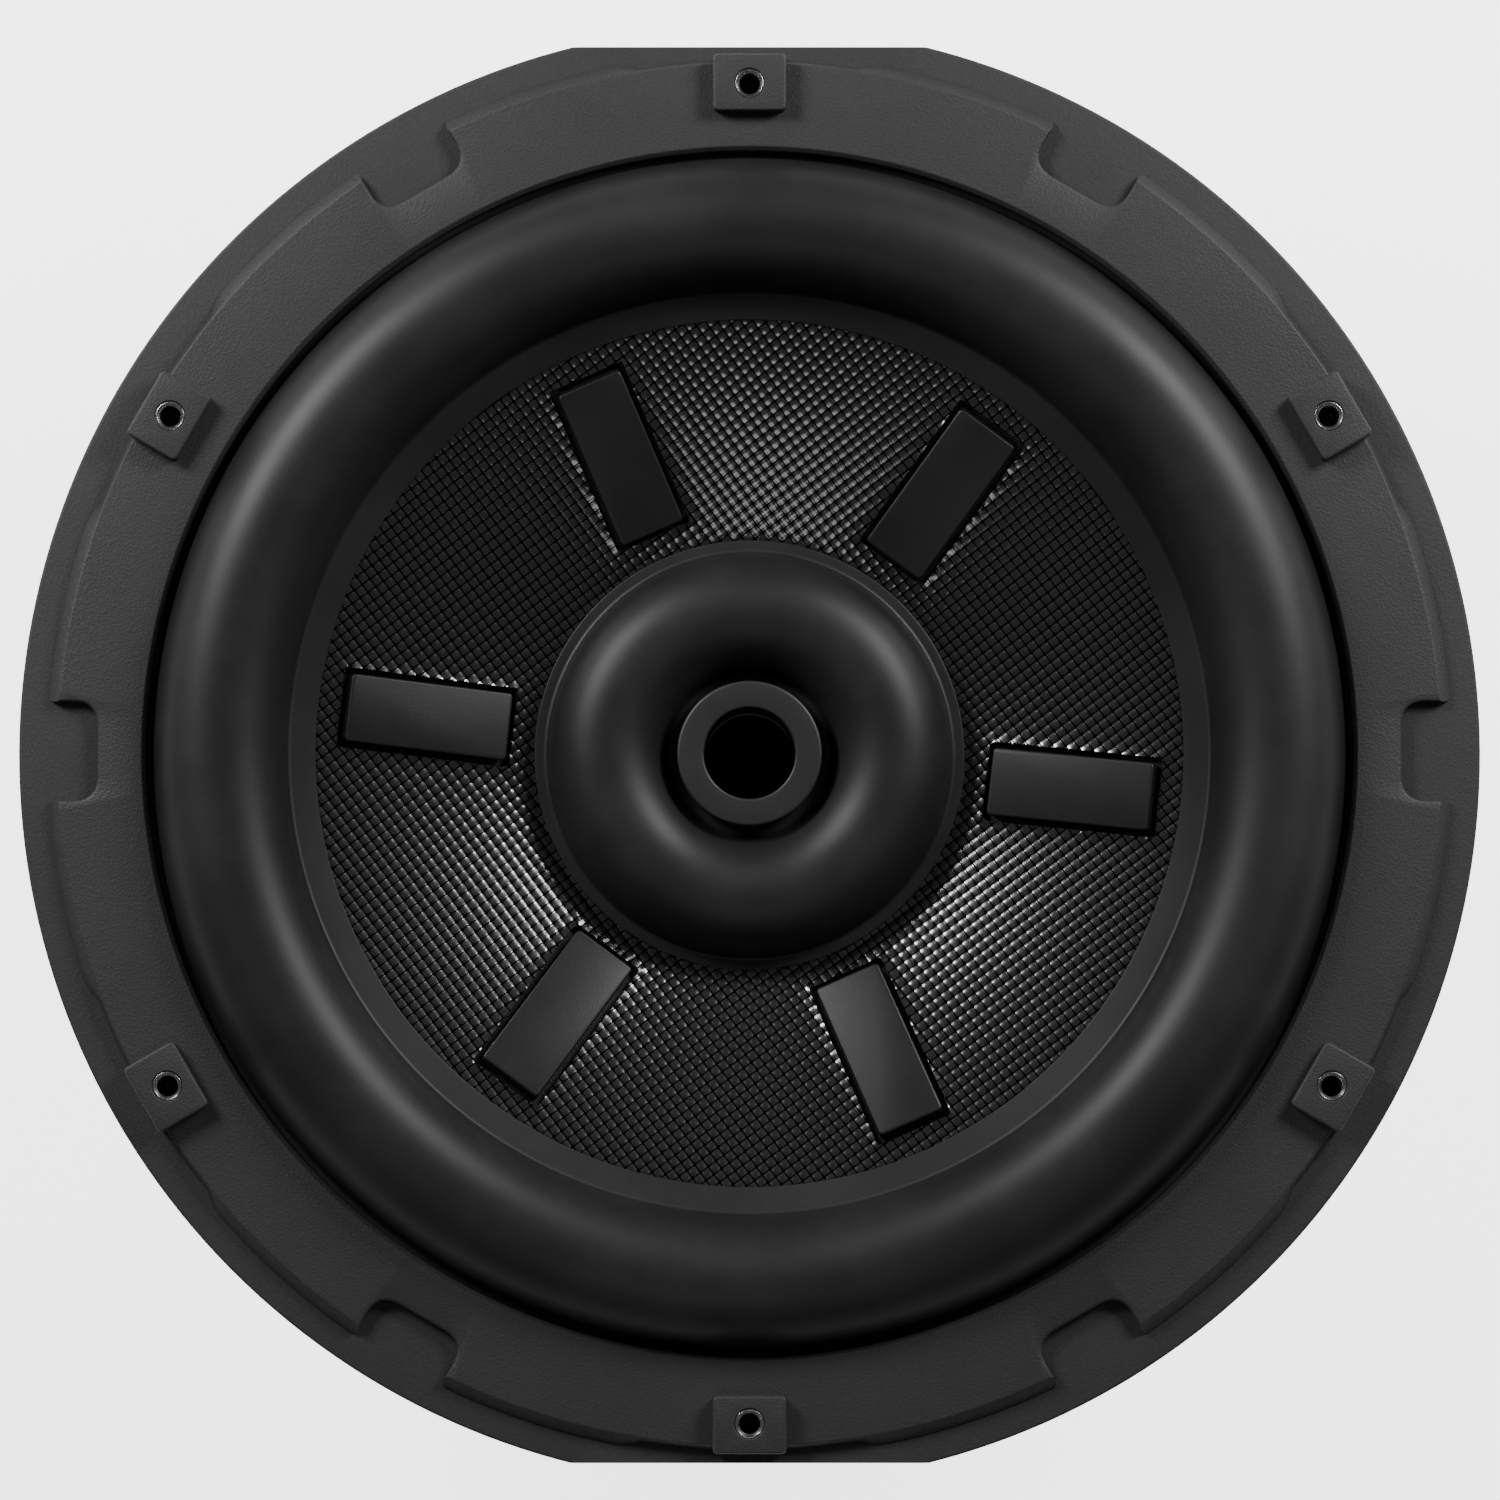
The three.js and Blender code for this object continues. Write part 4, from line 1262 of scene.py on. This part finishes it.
    def coil(self) -> None:
        """The former and the winding, with a collar of glue at the neck."""
        low, high = span_of("voice_coil_former")
        inside, outside = self.former
        tube = Blank.turned([(inside, low), (outside, low), (outside, high), (inside, high)], 180)
        self.piece("coil_former", tube, ALUMINIUM, Body.CONE, ["voice_coil_former"])
        low, high = span_of("voice_coil_winding")
        wire = (high - low) / self.winding_turns
        face = outside + 0.05
        section = [(face, high), (face, low)]
        for i in range(self.winding_turns):
            section += arc((self.winding_outer - wire / 2, low + (i + 0.5) * wire), wire / 2, -70, 70, 4)
        self.piece("coil_winding", Blank.turned(section, 144), WINDING, Body.CONE, ["voice_coil_winding"])
        glue = [(face, 73.4), (46.6, 75.0, 0.8), (47.4, 76.5, 0.8), (face, 76.5)]
        self.piece("neck_glue", Blank.turned(glue, 180), GLUE, Body.CONE, tag="bead")


@dataclass
class Suspensions(Assembly):
    """The surround, the inner roll and the spider."""

    roll_inner: float = 99.9
    roll_outer: float = 128.2
    small_inner: float = 18.2
    small_outer: float = 43.8
    rubber: float = 1.2
    waves: int = 6
    wave_span: tuple[float, float] = (49.5, 94.0)
    wave_rise: float = 1.9
    wave_height: float = 70.0
    cloth: float = 0.7
    seat_inner: float = 98.0

    def build(self) -> None:
        """Makes the three suspensions."""
        self.surround()
        self.inner_roll()
        self.spider()

    def half_roll(
        self, inner: float, outer: float, foot: float, lips: Sequence[Point], slope: float = 0.0
    ) -> Outline:
        """The section of a half roll between two lips.

        Args:
            inner: radius of the roll's inner foot.
            outer: radius of its outer foot.
            foot: height of the faces that the roll springs from.
            lips: radius and underside height of the inner lip and of the outer one.
            slope: how far the inner lip falls towards its edge.

        Returns:
            The closed outline.
        """
        middle, radius = (inner + outer) / 2, (outer - inner) / 2
        (in_lip, in_under), (out_lip, out_under) = lips
        thick = self.rubber
        outside = arc((middle, foot), radius, 170, 10, 44)
        inside = arc((middle, foot), radius - thick, 0, 180, 30)
        rise = foot - in_under - thick
        start = [(in_lip, in_under, 0.1), (in_lip, in_under + thick - slope, 0.25)]
        start.append((inner - 0.3, in_under + thick + rise * min(slope, 1.0), 1.2))
        out_top = out_under + thick
        end = [(outer + 0.5, out_top, 1.0), (out_lip, out_top, 0.3), (out_lip, out_under, 0.15)]
        under = [(outer - thick, out_under), *inside, (inner + thick, in_under)]
        return [*start, *outside, *end, *under]

    def surround(self) -> None:
        """The outer roll, from the cone's edge to the flange."""
        lips = [(93.7, 93.0), (134.0, 94.0)]
        blank = Blank.turned(self.half_roll(self.roll_inner, self.roll_outer, 95.2, lips, 0.75), 256)
        roll = self.piece("outer_roll", blank, RUBBER, "", ["surround"], smooth=60)
        self.stretch(roll, self.roll_outer, self.roll_inner)

    def inner_roll(self) -> None:
        """The inner roll, from the cone's neck to the centre post."""
        lips = [(12.8, 78.0), (46.9, 78.0)]
        blank = Blank.turned(self.half_roll(self.small_inner, self.small_outer, 79.2, lips), 192)
        roll = self.piece("centre_roll", blank, RUBBER, "", ["inner_roll"], smooth=60)
        self.stretch(roll, self.small_inner, self.small_outer)

    def spider(self) -> None:
        """The corrugated disc on the former, and the ring that carries its edge."""
        inner, outer = Cone.bore, reach_of("spider")
        start, end = self.wave_span
        middle = self.wave_height
        steps = self.waves * 12
        wave = []
        for i in range(steps + 1):
            t = i / steps
            height = self.wave_rise * math.sin(math.tau * self.waves * t) * min(1.0, 8 * t, 8 * (1 - t))
            wave.append((start + (end - start) * t, middle + height))
        line = [(inner, middle), *wave, (outer, middle)]
        half = self.cloth / 2
        section = [(r, z + half) for r, z in line] + [(r, z - half) for r, z in reversed(line)]
        blank = Blank.turned(section, 144)
        disc = self.piece("spider_disc", blank, SPIDER_CLOTH, "", ["spider"], smooth=60)
        self.stretch(disc, end, start)
        low, high, edge = middle - 1, middle - half, self.seat_inner
        ring = [(edge, low, 0.1), (outer, low, 0.1), (outer, high), (edge, high)]
        self.piece("spider_seat", Blank.turned(ring, 144), BLOCK_PLASTIC, nodes=["spider_ring"])


@dataclass
class Motor(Assembly):
    """Yoke, magnets, plate, boot, screws and the centre post with its clamp ring."""

    plate: float = reach_of("yoke")
    magnet: float = reach_of("magnet_rear")
    bore: float = 52.0
    pole: float = 43.6
    vent: float = 9.9
    gap_outer: float = 47.4
    pole_top: float = height_of("yoke")
    screw_circle: float = 66.0
    screw_head: float = 4.3
    screw_shank: float = 2.4
    screw_socket: float = 3.5
    screen_radius: float = 9.2
    screen_cells: int = 12
    boss_first: float = 30.0

    def build(self) -> None:
        """Makes the motor from the back plate up."""
        self.steel()
        self.magnets()
        self.boot()
        self.screws()
        self.post()
        self.screen()

    def steel(self) -> None:
        """Yoke and front plate."""
        low, step = height_of("yoke", top=False), height_of("magnet_rear", top=False)
        section = [
            (self.vent, low, 0.8),
            (self.plate, low, 2.0),
            (self.plate, step, 0.6),
            (self.pole, step, 1.0),
            (self.pole, self.pole_top, 1.0),
            (15.7, self.pole_top, 0.6),
            (15.7, self.pole_top - 8, 0.2),
            (self.vent, self.pole_top - 8, 0.4),
        ]
        self.piece("back_plate_and_pole", Blank.turned(section, 180), PLATED, nodes=["yoke"])
        low, top = span_of("top_plate")
        gap, edge = self.gap_outer, self.plate
        ring = [(gap, low, 0.6), (edge, low, 0.6), (edge, top, 0.8), (gap, top, 0.6)]
        blank = Blank.turned(ring, 180)
        blank.carve(around(lambda: Blank.bar(2.6, 47, 60).move(self.screw_circle, 0, 0), self.boss_first))
        self.piece("front_plate", blank, PLATED, nodes=["top_plate"])
        low, high = span_of("shorting_ring")
        ring = [(48, low, 0.3), (51.7, low, 0.3), (51.7, high, 0.5), (48, high, 0.5)]
        self.piece("field_ring", Blank.turned(ring, 144), ALUMINIUM, nodes=["shorting_ring"])

    def magnets(self) -> None:
        """Two ferrite rings with chamfered edges."""
        for name, node in (("rear_magnet", "magnet_rear"), ("front_magnet", "magnet_front")):
            low, high = span_of(node)
            bore, edge = self.bore, self.magnet
            ring = [(bore, low, 0.8), (edge, low, 1.2), (edge, high, 1.2), (bore, high, 0.8)]
            self.piece(name, Blank.turned(ring, 180), FERRITE, nodes=[node])

    def boot(self) -> None:
        """The rubber boot: a turned-in foot, three grip grooves and a lip over the front plate."""
        outer = reach_of("magnet_boot")
        top = height_of("magnet_boot")
        grooves = []
        for height in (12.0, 22.0, 32.0):
            grooves += [(outer, height - 1.2, 0.5), (outer - 0.8, height, 0.9), (outer, height + 1.2, 0.5)]
        section = [
            (66, 0, 0.4),
            (outer, 0, 2.6),
            *grooves,
            (outer, top, 1.8),
            (72.3, top, 0.4),
            (72.3, 44.3),
            (75.3, 44.3),
            (75.3, 1.7),
            (66, 1.7, 0.4),
        ]
        self.piece("boot_sleeve", Blank.turned(section, 240), BOOT_RUBBER, nodes=["magnet_boot"])

    def screws(self) -> None:
        """Button-head screws with hexagonal sockets."""
        head, top = 58.0, height_of("motor_screw_1")
        shank, wide = self.screw_shank, self.screw_head
        section = [(0, 48.3), (2.0, 48.3), (shank, 48.8), (shank, head), (wide, head, 0.2)]
        section += [(wide, head + 1.0, 0.5), (3.3, top - 0.2, 1.0), (shank, top), (0, top)]
        for i in range(STATIONS):
            blank = Blank.turned(section, 48, closed=False)
            blank.carve([Blank.bar(self.screw_socket / 2, top - 1.5, top + 1, 6)])
            blank.move(self.screw_circle, 0, 0).turn(self.boss_first + i * STEP)
            self.piece(f"socket_screw_{i + 1}", blank, SCREW_STEEL, nodes=[f"motor_screw_{i + 1}"])

    def post(self) -> None:
        """The hollow post and the rounded ring that clamps the inner roll to it."""
        low, high = span_of("centre_post")
        section = [
            (12.6, low, 0.3),
            (15.5, low, 0.3),
            (15.5, high - 4, 0.6),
            (17.5, high - 3, 0.4),
            (17.5, high, 0.3),
            (12.6, high, 0.3),
        ]
        self.piece("post_tube", Blank.turned(section, 128), ALUMINIUM, nodes=["centre_post"])
        seat, top, clamp = high + 1.2, height_of("post_clamp_ring"), reach_of("post_clamp_ring")
        section = [
            (self.vent, 62, 0.4),
            (12.3, 62, 0.4),
            (12.3, seat, 0.1),
            (clamp, seat, 0.4),
            (clamp, top, 0.7),
            (self.vent, top, 0.6),
        ]
        self.piece("clamp_ring", Blank.turned(section, 128), RING_PLASTIC, nodes=["post_clamp_ring"])

    def screen(self) -> None:
        """A wire screen in a pressed rim, across the vent."""
        blank = Blank()
        cells, size = self.screen_cells, self.screen_radius
        bmesh.ops.create_grid(blank.mesh, x_segments=cells, y_segments=cells, size=size)
        past = [v for v in blank.mesh.verts if math.hypot(v.co.x, v.co.y) > size + 0.2]
        bmesh.ops.delete(blank.mesh, geom=past, context="VERTS")
        wire = {"thickness": 0.4, "use_replace": True, "use_boundary": True, "use_even_offset": True}
        bmesh.ops.wireframe(blank.mesh, faces=blank.mesh.faces[:], **wire)
        blank.move(0, 0, 3.5)
        rim = [(8.9, 3.0, 0.2), (9.6, 3.0, 0.2), (9.6, 4.0, 0.2), (8.9, 4.0, 0.2)]
        blank.add(Blank.turned(rim, 64))
        self.piece("vent_mesh", blank, SCREEN_STEEL, nodes=["vent_screen"])


@dataclass(frozen=True)
class Way:
    """One wire way: its name, the angle of its block's side, and its place along the block."""

    name: str
    side: float
    offset: float

    def stand(self, blank: Blank, radius: float) -> Blank:
        """Moves a blank from the axis to a radius at this way, and round to its side."""
        return blank.move(radius, self.offset, 0).turn(self.side)


@dataclass
class Terminals(Assembly):
    """Two push-terminal blocks with their buttons, springs, contacts and leads."""

    inner: float = 100.0
    outer: float = 122.0
    half_width: float = 17.5
    bottom: float = height_of("terminal_block_a", top=False)
    top: float = height_of("terminal_block_a")
    button: float = 112.5
    offset: float = 8.5
    stem: float = 9.6
    flange: float = 11.0
    contact: float = 108.7
    entry: float = 62.0
    entry_size: float = 5.0
    slack: float = 0.6
    ledge: float = 48.0
    spring_seat: float = 58.0
    strand: float = 0.46
    lay: float = 9.0

    def build(self) -> None:
        """Makes both blocks and all that is in them."""
        for letter, side in (("a", 0), ("b", 180)):
            self.block(letter, side)
            for number, offset, colour in ((1, self.offset, BUTTON_RED), (2, -self.offset, BUTTON_BLACK)):
                way = Way(f"{letter}{number}", side, offset)
                self.push_button(way, colour)
                self.spring(way)
                self.strip(way)
                self.lead(way)

    def slot(self, offset: float) -> Blank:
        """The cutter that lets a contact through, on +X."""
        return Blank.plate(blocked(2.2, 7.2, 0), 59.6, 80).move(self.contact, offset, 0)

    def block(self, letter: str, side: float) -> None:
        """The moulded block: wells for the buttons, funnelled wire entries and a parting step.

        Args:
            letter: the block's letter.
            side: angle of its side, in degrees.
        """
        middle = (self.inner + self.outer) / 2
        length, width = self.outer - self.inner, 2 * self.half_width
        blank = Blank.plate(blocked(length, width, 1.6), self.bottom, self.top, 4).bevel(0.6, 2, 60)
        blank.move(middle, 0, 0)
        tools = [Blank.plate(blocked(0.8, width + 2, 0), 54, 54.6).move(self.outer, 0, 0)]
        stem, flange = self.stem + self.slack, self.flange + self.slack
        ledge, seat = self.ledge, self.spring_seat
        for offset in (self.offset, -self.offset):
            tools.append(Blank.plate(blocked(stem, stem, 1.0), 40, ledge + 0.2).move(self.button, offset, 0))
            tools.append(Blank.plate(blocked(flange, flange, 0.6), ledge, seat).move(self.button, offset, 0))
        for tool in tools:
            blank.carve([tool])
        for offset in (self.offset, -self.offset):
            size = self.entry_size
            entry = Blank.plate(blocked(size, size, 0.5), self.contact - 1.1, self.outer + 5).turn(90, "Y")
            blank.carve([entry.move(0, offset, self.entry)])
            blank.carve([self.slot(offset)])
        blank.turn(side)
        self.piece(f"terminal_housing_{letter}", blank, BLOCK_PLASTIC, nodes=[f"terminal_block_{letter}"])

    def push_button(self, way: Way, finish: Finish) -> None:
        """A button with a crowned, ridged press face and a retaining flange.

        Args:
            way: the wire way that it opens.
            finish: its colour.
        """
        node = f"push_button_{way.name}"
        low = height_of(node, top=False)
        blank = Blank.plate(blocked(self.stem, self.stem, 1.0), low, 50, 4).bevel(0.9, 3, 60)
        groove = blocked(0.7, self.stem + 2, 0)
        blank.carve([Blank.plate(groove, low - 1, low + 0.35).move(x, 0, 0) for x in (-2, 0, 2)])
        ledge = self.ledge
        blank.carve([Blank.plate(blocked(self.flange, self.flange, 0.8), ledge, ledge + 4)], Carve.JOIN)
        body = f"button_{way.name}"
        self.piece(body, way.stand(blank, self.button), finish, body, [node])

    def spring(self, way: Way) -> None:
        """The coil spring over a button, with its ends closed.

        Args:
            way: the wire way whose button it returns.
        """
        coil, wire, turns, low, high = 3.6, 0.4, 3.5, 52.55, 57.45
        blank = Blank()
        bmesh.ops.create_circle(blank.mesh, cap_ends=False, segments=10, radius=wire)
        blank.turn(90, "X").move(coil, 0, low)
        steps = 84
        path = {"cent": (0, 0, 0), "axis": (0, 0, 1), "dvec": (0, 0, (high - low) / steps)}
        section = blank.mesh.verts[:] + blank.mesh.edges[:]
        path |= {"angle": math.tau * turns, "steps": steps, "use_duplicate": False}
        bmesh.ops.spin(blank.mesh, geom=section, **path)
        bmesh.ops.holes_fill(blank.mesh, edges=[e for e in blank.mesh.edges if e.is_boundary], sides=0)
        way.stand(blank.tidy(), self.button)
        nodes = [f"button_spring_{way.name}"]
        thing = self.piece(f"coil_spring_{way.name}", blank, SCREW_STEEL, Body.CHASSIS, nodes)
        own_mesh(thing)

    def strip(self, way: Way) -> None:
        """The brass contact with its solder lug.

        Args:
            way: the wire way that it serves.
        """
        node = f"terminal_contact_{way.name}"
        low, high = span_of(node)
        half, tip, shoulder = 3.0, 1.6, high - 2.5
        outline = [(low, -half, 0.4), (shoulder, -half, 1.2), (high, -tip, 1.0)]
        outline += [(high, tip, 1.0), (shoulder, half, 1.2), (low, half, 0.4)]
        blank = Blank.plate(outline, -0.5, 0.5).bevel(0.15, 2, 60)
        blank.carve([Blank.bar(1.0, -2, 2, 24).move(high - 3.4, 0, 0)])
        way.stand(blank.turn(-90, "Y"), self.contact)
        self.piece(f"contact_{way.name}", blank, BRASS, nodes=[node])

    def lead(self, way: Way) -> None:
        """The braided lead: three strands twisted round one route, slack enough for the cone's travel.

        Args:
            way: the wire way that it serves.
        """
        route = [(107.9, 1.0, 74.5), (102, 1.0, 76.5), (84, 0.9, 77.5)]
        route += [(64, 0.65, 75.2), (52, 0.5, 74), (45.5, 0.4, 73.8)]
        points = [Vector((x, share * way.offset, z)) for x, share, z in route]
        line = smooth_route(points, 40)
        blank = Blank()
        for strand in range(3):
            blank.add(twisted(line, 0.44, self.strand, strand * math.tau / 3, self.lay))
        blank.turn(way.side)
        nodes = [f"tinsel_lead_{way.name}"]
        thing = self.piece(f"braided_lead_{way.name}", blank, TINSEL, "", nodes, smooth=60)
        self.stretch(thing, 104, 50)


def smooth_route(points: Sequence[Vector], steps: int) -> list[Vector]:
    """A smooth line through points.

    Args:
        points: the points it passes.
        steps: how many parts the whole line has.

    Returns:
        Points along the line, both ends included.
    """
    ends = [points[0] * 2 - points[1], *points, points[-1] * 2 - points[-2]]
    spans = len(points) - 1
    line = []
    for i in range(steps + 1):
        place = min(i / steps * spans, spans - 1e-6)
        k, t = int(place), place - int(place)
        a, b, c, d = ends[k : k + 4]
        tangent, curve, twist = c - a, a * 2 - b * 5 + c * 4 - d, b * 3 - a - c * 3 + d
        line.append((b * 2 + tangent * t + curve * t**2 + twist * t**3) / 2)
    return line


def twisted(line: Sequence[Vector], away: float, radius: float, start: float, lay: float) -> Blank:
    """One strand that winds round a line.

    Args:
        line: points of the line.
        away: distance of the strand's middle from the line.
        radius: the strand's radius.
        start: its first angle, in radians.
        lay: length of one whole turn.

    Returns:
        The closed strand.
    """
    blank = Blank()
    path = [line[0]]
    for a, b in zip(line, line[1:]):
        path += [a.lerp(b, (i + 1) / 3) for i in range(3)]
    travelled, rings, facets = 0.0, [], 7
    for i, point in enumerate(path):
        ahead = (path[min(i + 1, len(path) - 1)] - path[max(i - 1, 0)]).normalized()
        travelled += (point - path[i - 1]).length if i else 0.0
        side = ahead.cross(Vector((0, 0, 1))).normalized()
        up = side.cross(ahead)
        angle = start + math.tau * travelled / lay
        middle = point + (side * math.cos(angle) + up * math.sin(angle)) * away
        turns = [math.tau * k / facets for k in range(facets)]
        places = [middle + (side * math.cos(a) + up * math.sin(a)) * radius for a in turns]
        rings.append([blank.mesh.verts.new(place) for place in places])
    for first, second in zip(rings, rings[1:]):
        for k in range(facets):
            blank.mesh.faces.new((first[k - 1], first[k], second[k], second[k - 1]))
    blank.mesh.faces.new(rings[0])
    blank.mesh.faces.new(rings[-1])
    return blank.tidy()


# ---- Studio ----


@dataclass
class Studio:
    """Floor, light and camera."""

    distance: float = 1300.0
    lean: float = 2.5
    width: float = 323.7
    aim: tuple[float, float] = (0.1, 0.4)
    plane: float = 94.0
    floor_glow: float = 3.2
    # Radii between which the floor's glow fades in: a painted shadow round the speaker.
    painted_shadow: tuple[float, float] = (60.0, 168.0)
    floor_bounce: float = 0.35
    floor_size: float = 6.0
    key_power: float = 6.8
    key_size: tuple[float, float] = (0.27, 0.27)
    key_reach: float = 0.82
    key_height: float = 32.0
    key_sides: tuple[float, float] = (38.0, 142.0)
    fill: float = 0.06
    lamp_power: float = 0.3
    lamp_size: float = 0.22
    lamp_stand: tuple[float, float] = (265.0, 54.0)

    def build(self) -> None:
        """Makes the studio."""
        self.floor()
        for angle in self.key_sides:
            self.softbox(f"softbox_{angle:.0f}", (angle, self.key_height), self.key_size, self.key_power)
        self.softbox("lamp", self.lamp_stand, (self.lamp_size, self.lamp_size), self.lamp_power)
        self.world()
        self.camera()

    def floor(self) -> None:
        """A wide pale floor with a faint glow of its own, which fades out towards the speaker: a painted
        soft shadow under and round it.
        """
        blank = Blank()
        bmesh.ops.create_grid(blank.mesh, x_segments=2, y_segments=2, size=self.floor_size)
        thing = blank.loose("studio_floor")
        sheet = Sheet("studio_floor")
        sheet.set(Base_Color=(0.86, 0.86, 0.86), Roughness=0.9, Specular_IOR_Level=0.0)
        seen = Wire(sheet, sheet.node("ShaderNodeLightPath", {}, {}).outputs["Is Camera Ray"])
        # Painted shadow: the glow fades in from the speaker outwards, so the floor darkens under and round
        # it.
        glow = sheet.radius().remap(*self.painted_shadow, 0.0, 1.0) * seen.highest(self.floor_bounce)
        sheet.set(Emission_Color=sheet.blend(glow, (0.0, 0.0, 0.0), (1.0, 1.0, 1.0)))
        sheet.set(Emission_Strength=self.floor_glow)
        thing.data.materials.append(sheet.material)

    def softbox(self, name: str, stand: Point, size: Point, power: float) -> None:
        """One soft light turned to the speaker.

        Args:
            name: the light's name.
            stand: where it stands, as its azimuth from +X and its elevation, in degrees.
            size: width and height, in metres.
            power: its power, in watts.
        """
        light = bpy.data.lights.new(name, "AREA")
        light.shape = "RECTANGLE"
        light.size, light.size_y = size
        light.energy = power
        thing = bpy.data.objects.new(name, light)
        turn, rise = (math.radians(angle) for angle in stand)
        away = Vector((math.cos(turn) * math.cos(rise), math.sin(turn) * math.cos(rise), math.sin(rise)))
        thing.location = away * self.key_reach + Vector((0, 0, self.plane * MM))
        thing.rotation_euler = away.to_track_quat("Z", "Y").to_euler()
        bpy.context.scene.collection.objects.link(thing)

    def world(self) -> None:
        """A weak even fill."""
        world = bpy.data.worlds.new("studio")
        world.use_nodes = True
        ground = world.node_tree.nodes["Background"]
        ground.inputs["Color"].default_value = (1.0, 1.0, 1.0, 1.0)
        ground.inputs["Strength"].default_value = self.fill
        bpy.context.scene.world = world

    def camera(self) -> None:
        """The camera above the cone, leaning a little towards the foot of the frame."""
        data = bpy.data.cameras.new("camera")
        data.sensor_width = 36.0
        data.lens = data.sensor_width * self.distance / self.width
        data.clip_end = 50.0
        thing = bpy.data.objects.new("camera", data)
        lean = math.radians(self.lean)
        away = Vector((0, -math.sin(lean), math.cos(lean))) * self.distance
        aim = Vector((*self.aim, self.plane))
        thing.location = (aim + away) * MM
        thing.rotation_euler = (lean, 0, 0)
        bpy.context.scene.collection.objects.link(thing)
        bpy.context.scene.camera = thing


def main() -> None:
    """Builds the speaker and its studio."""
    logging.basicConfig(level=logging.INFO, format="%(message)s")
    for section in (Flange(), Cone(), Suspensions(), Motor(), Terminals()):
        LOG.info("building %s", type(section).__name__)
        section.build()
    Studio().build()


if __name__ == "__main__":
    main()
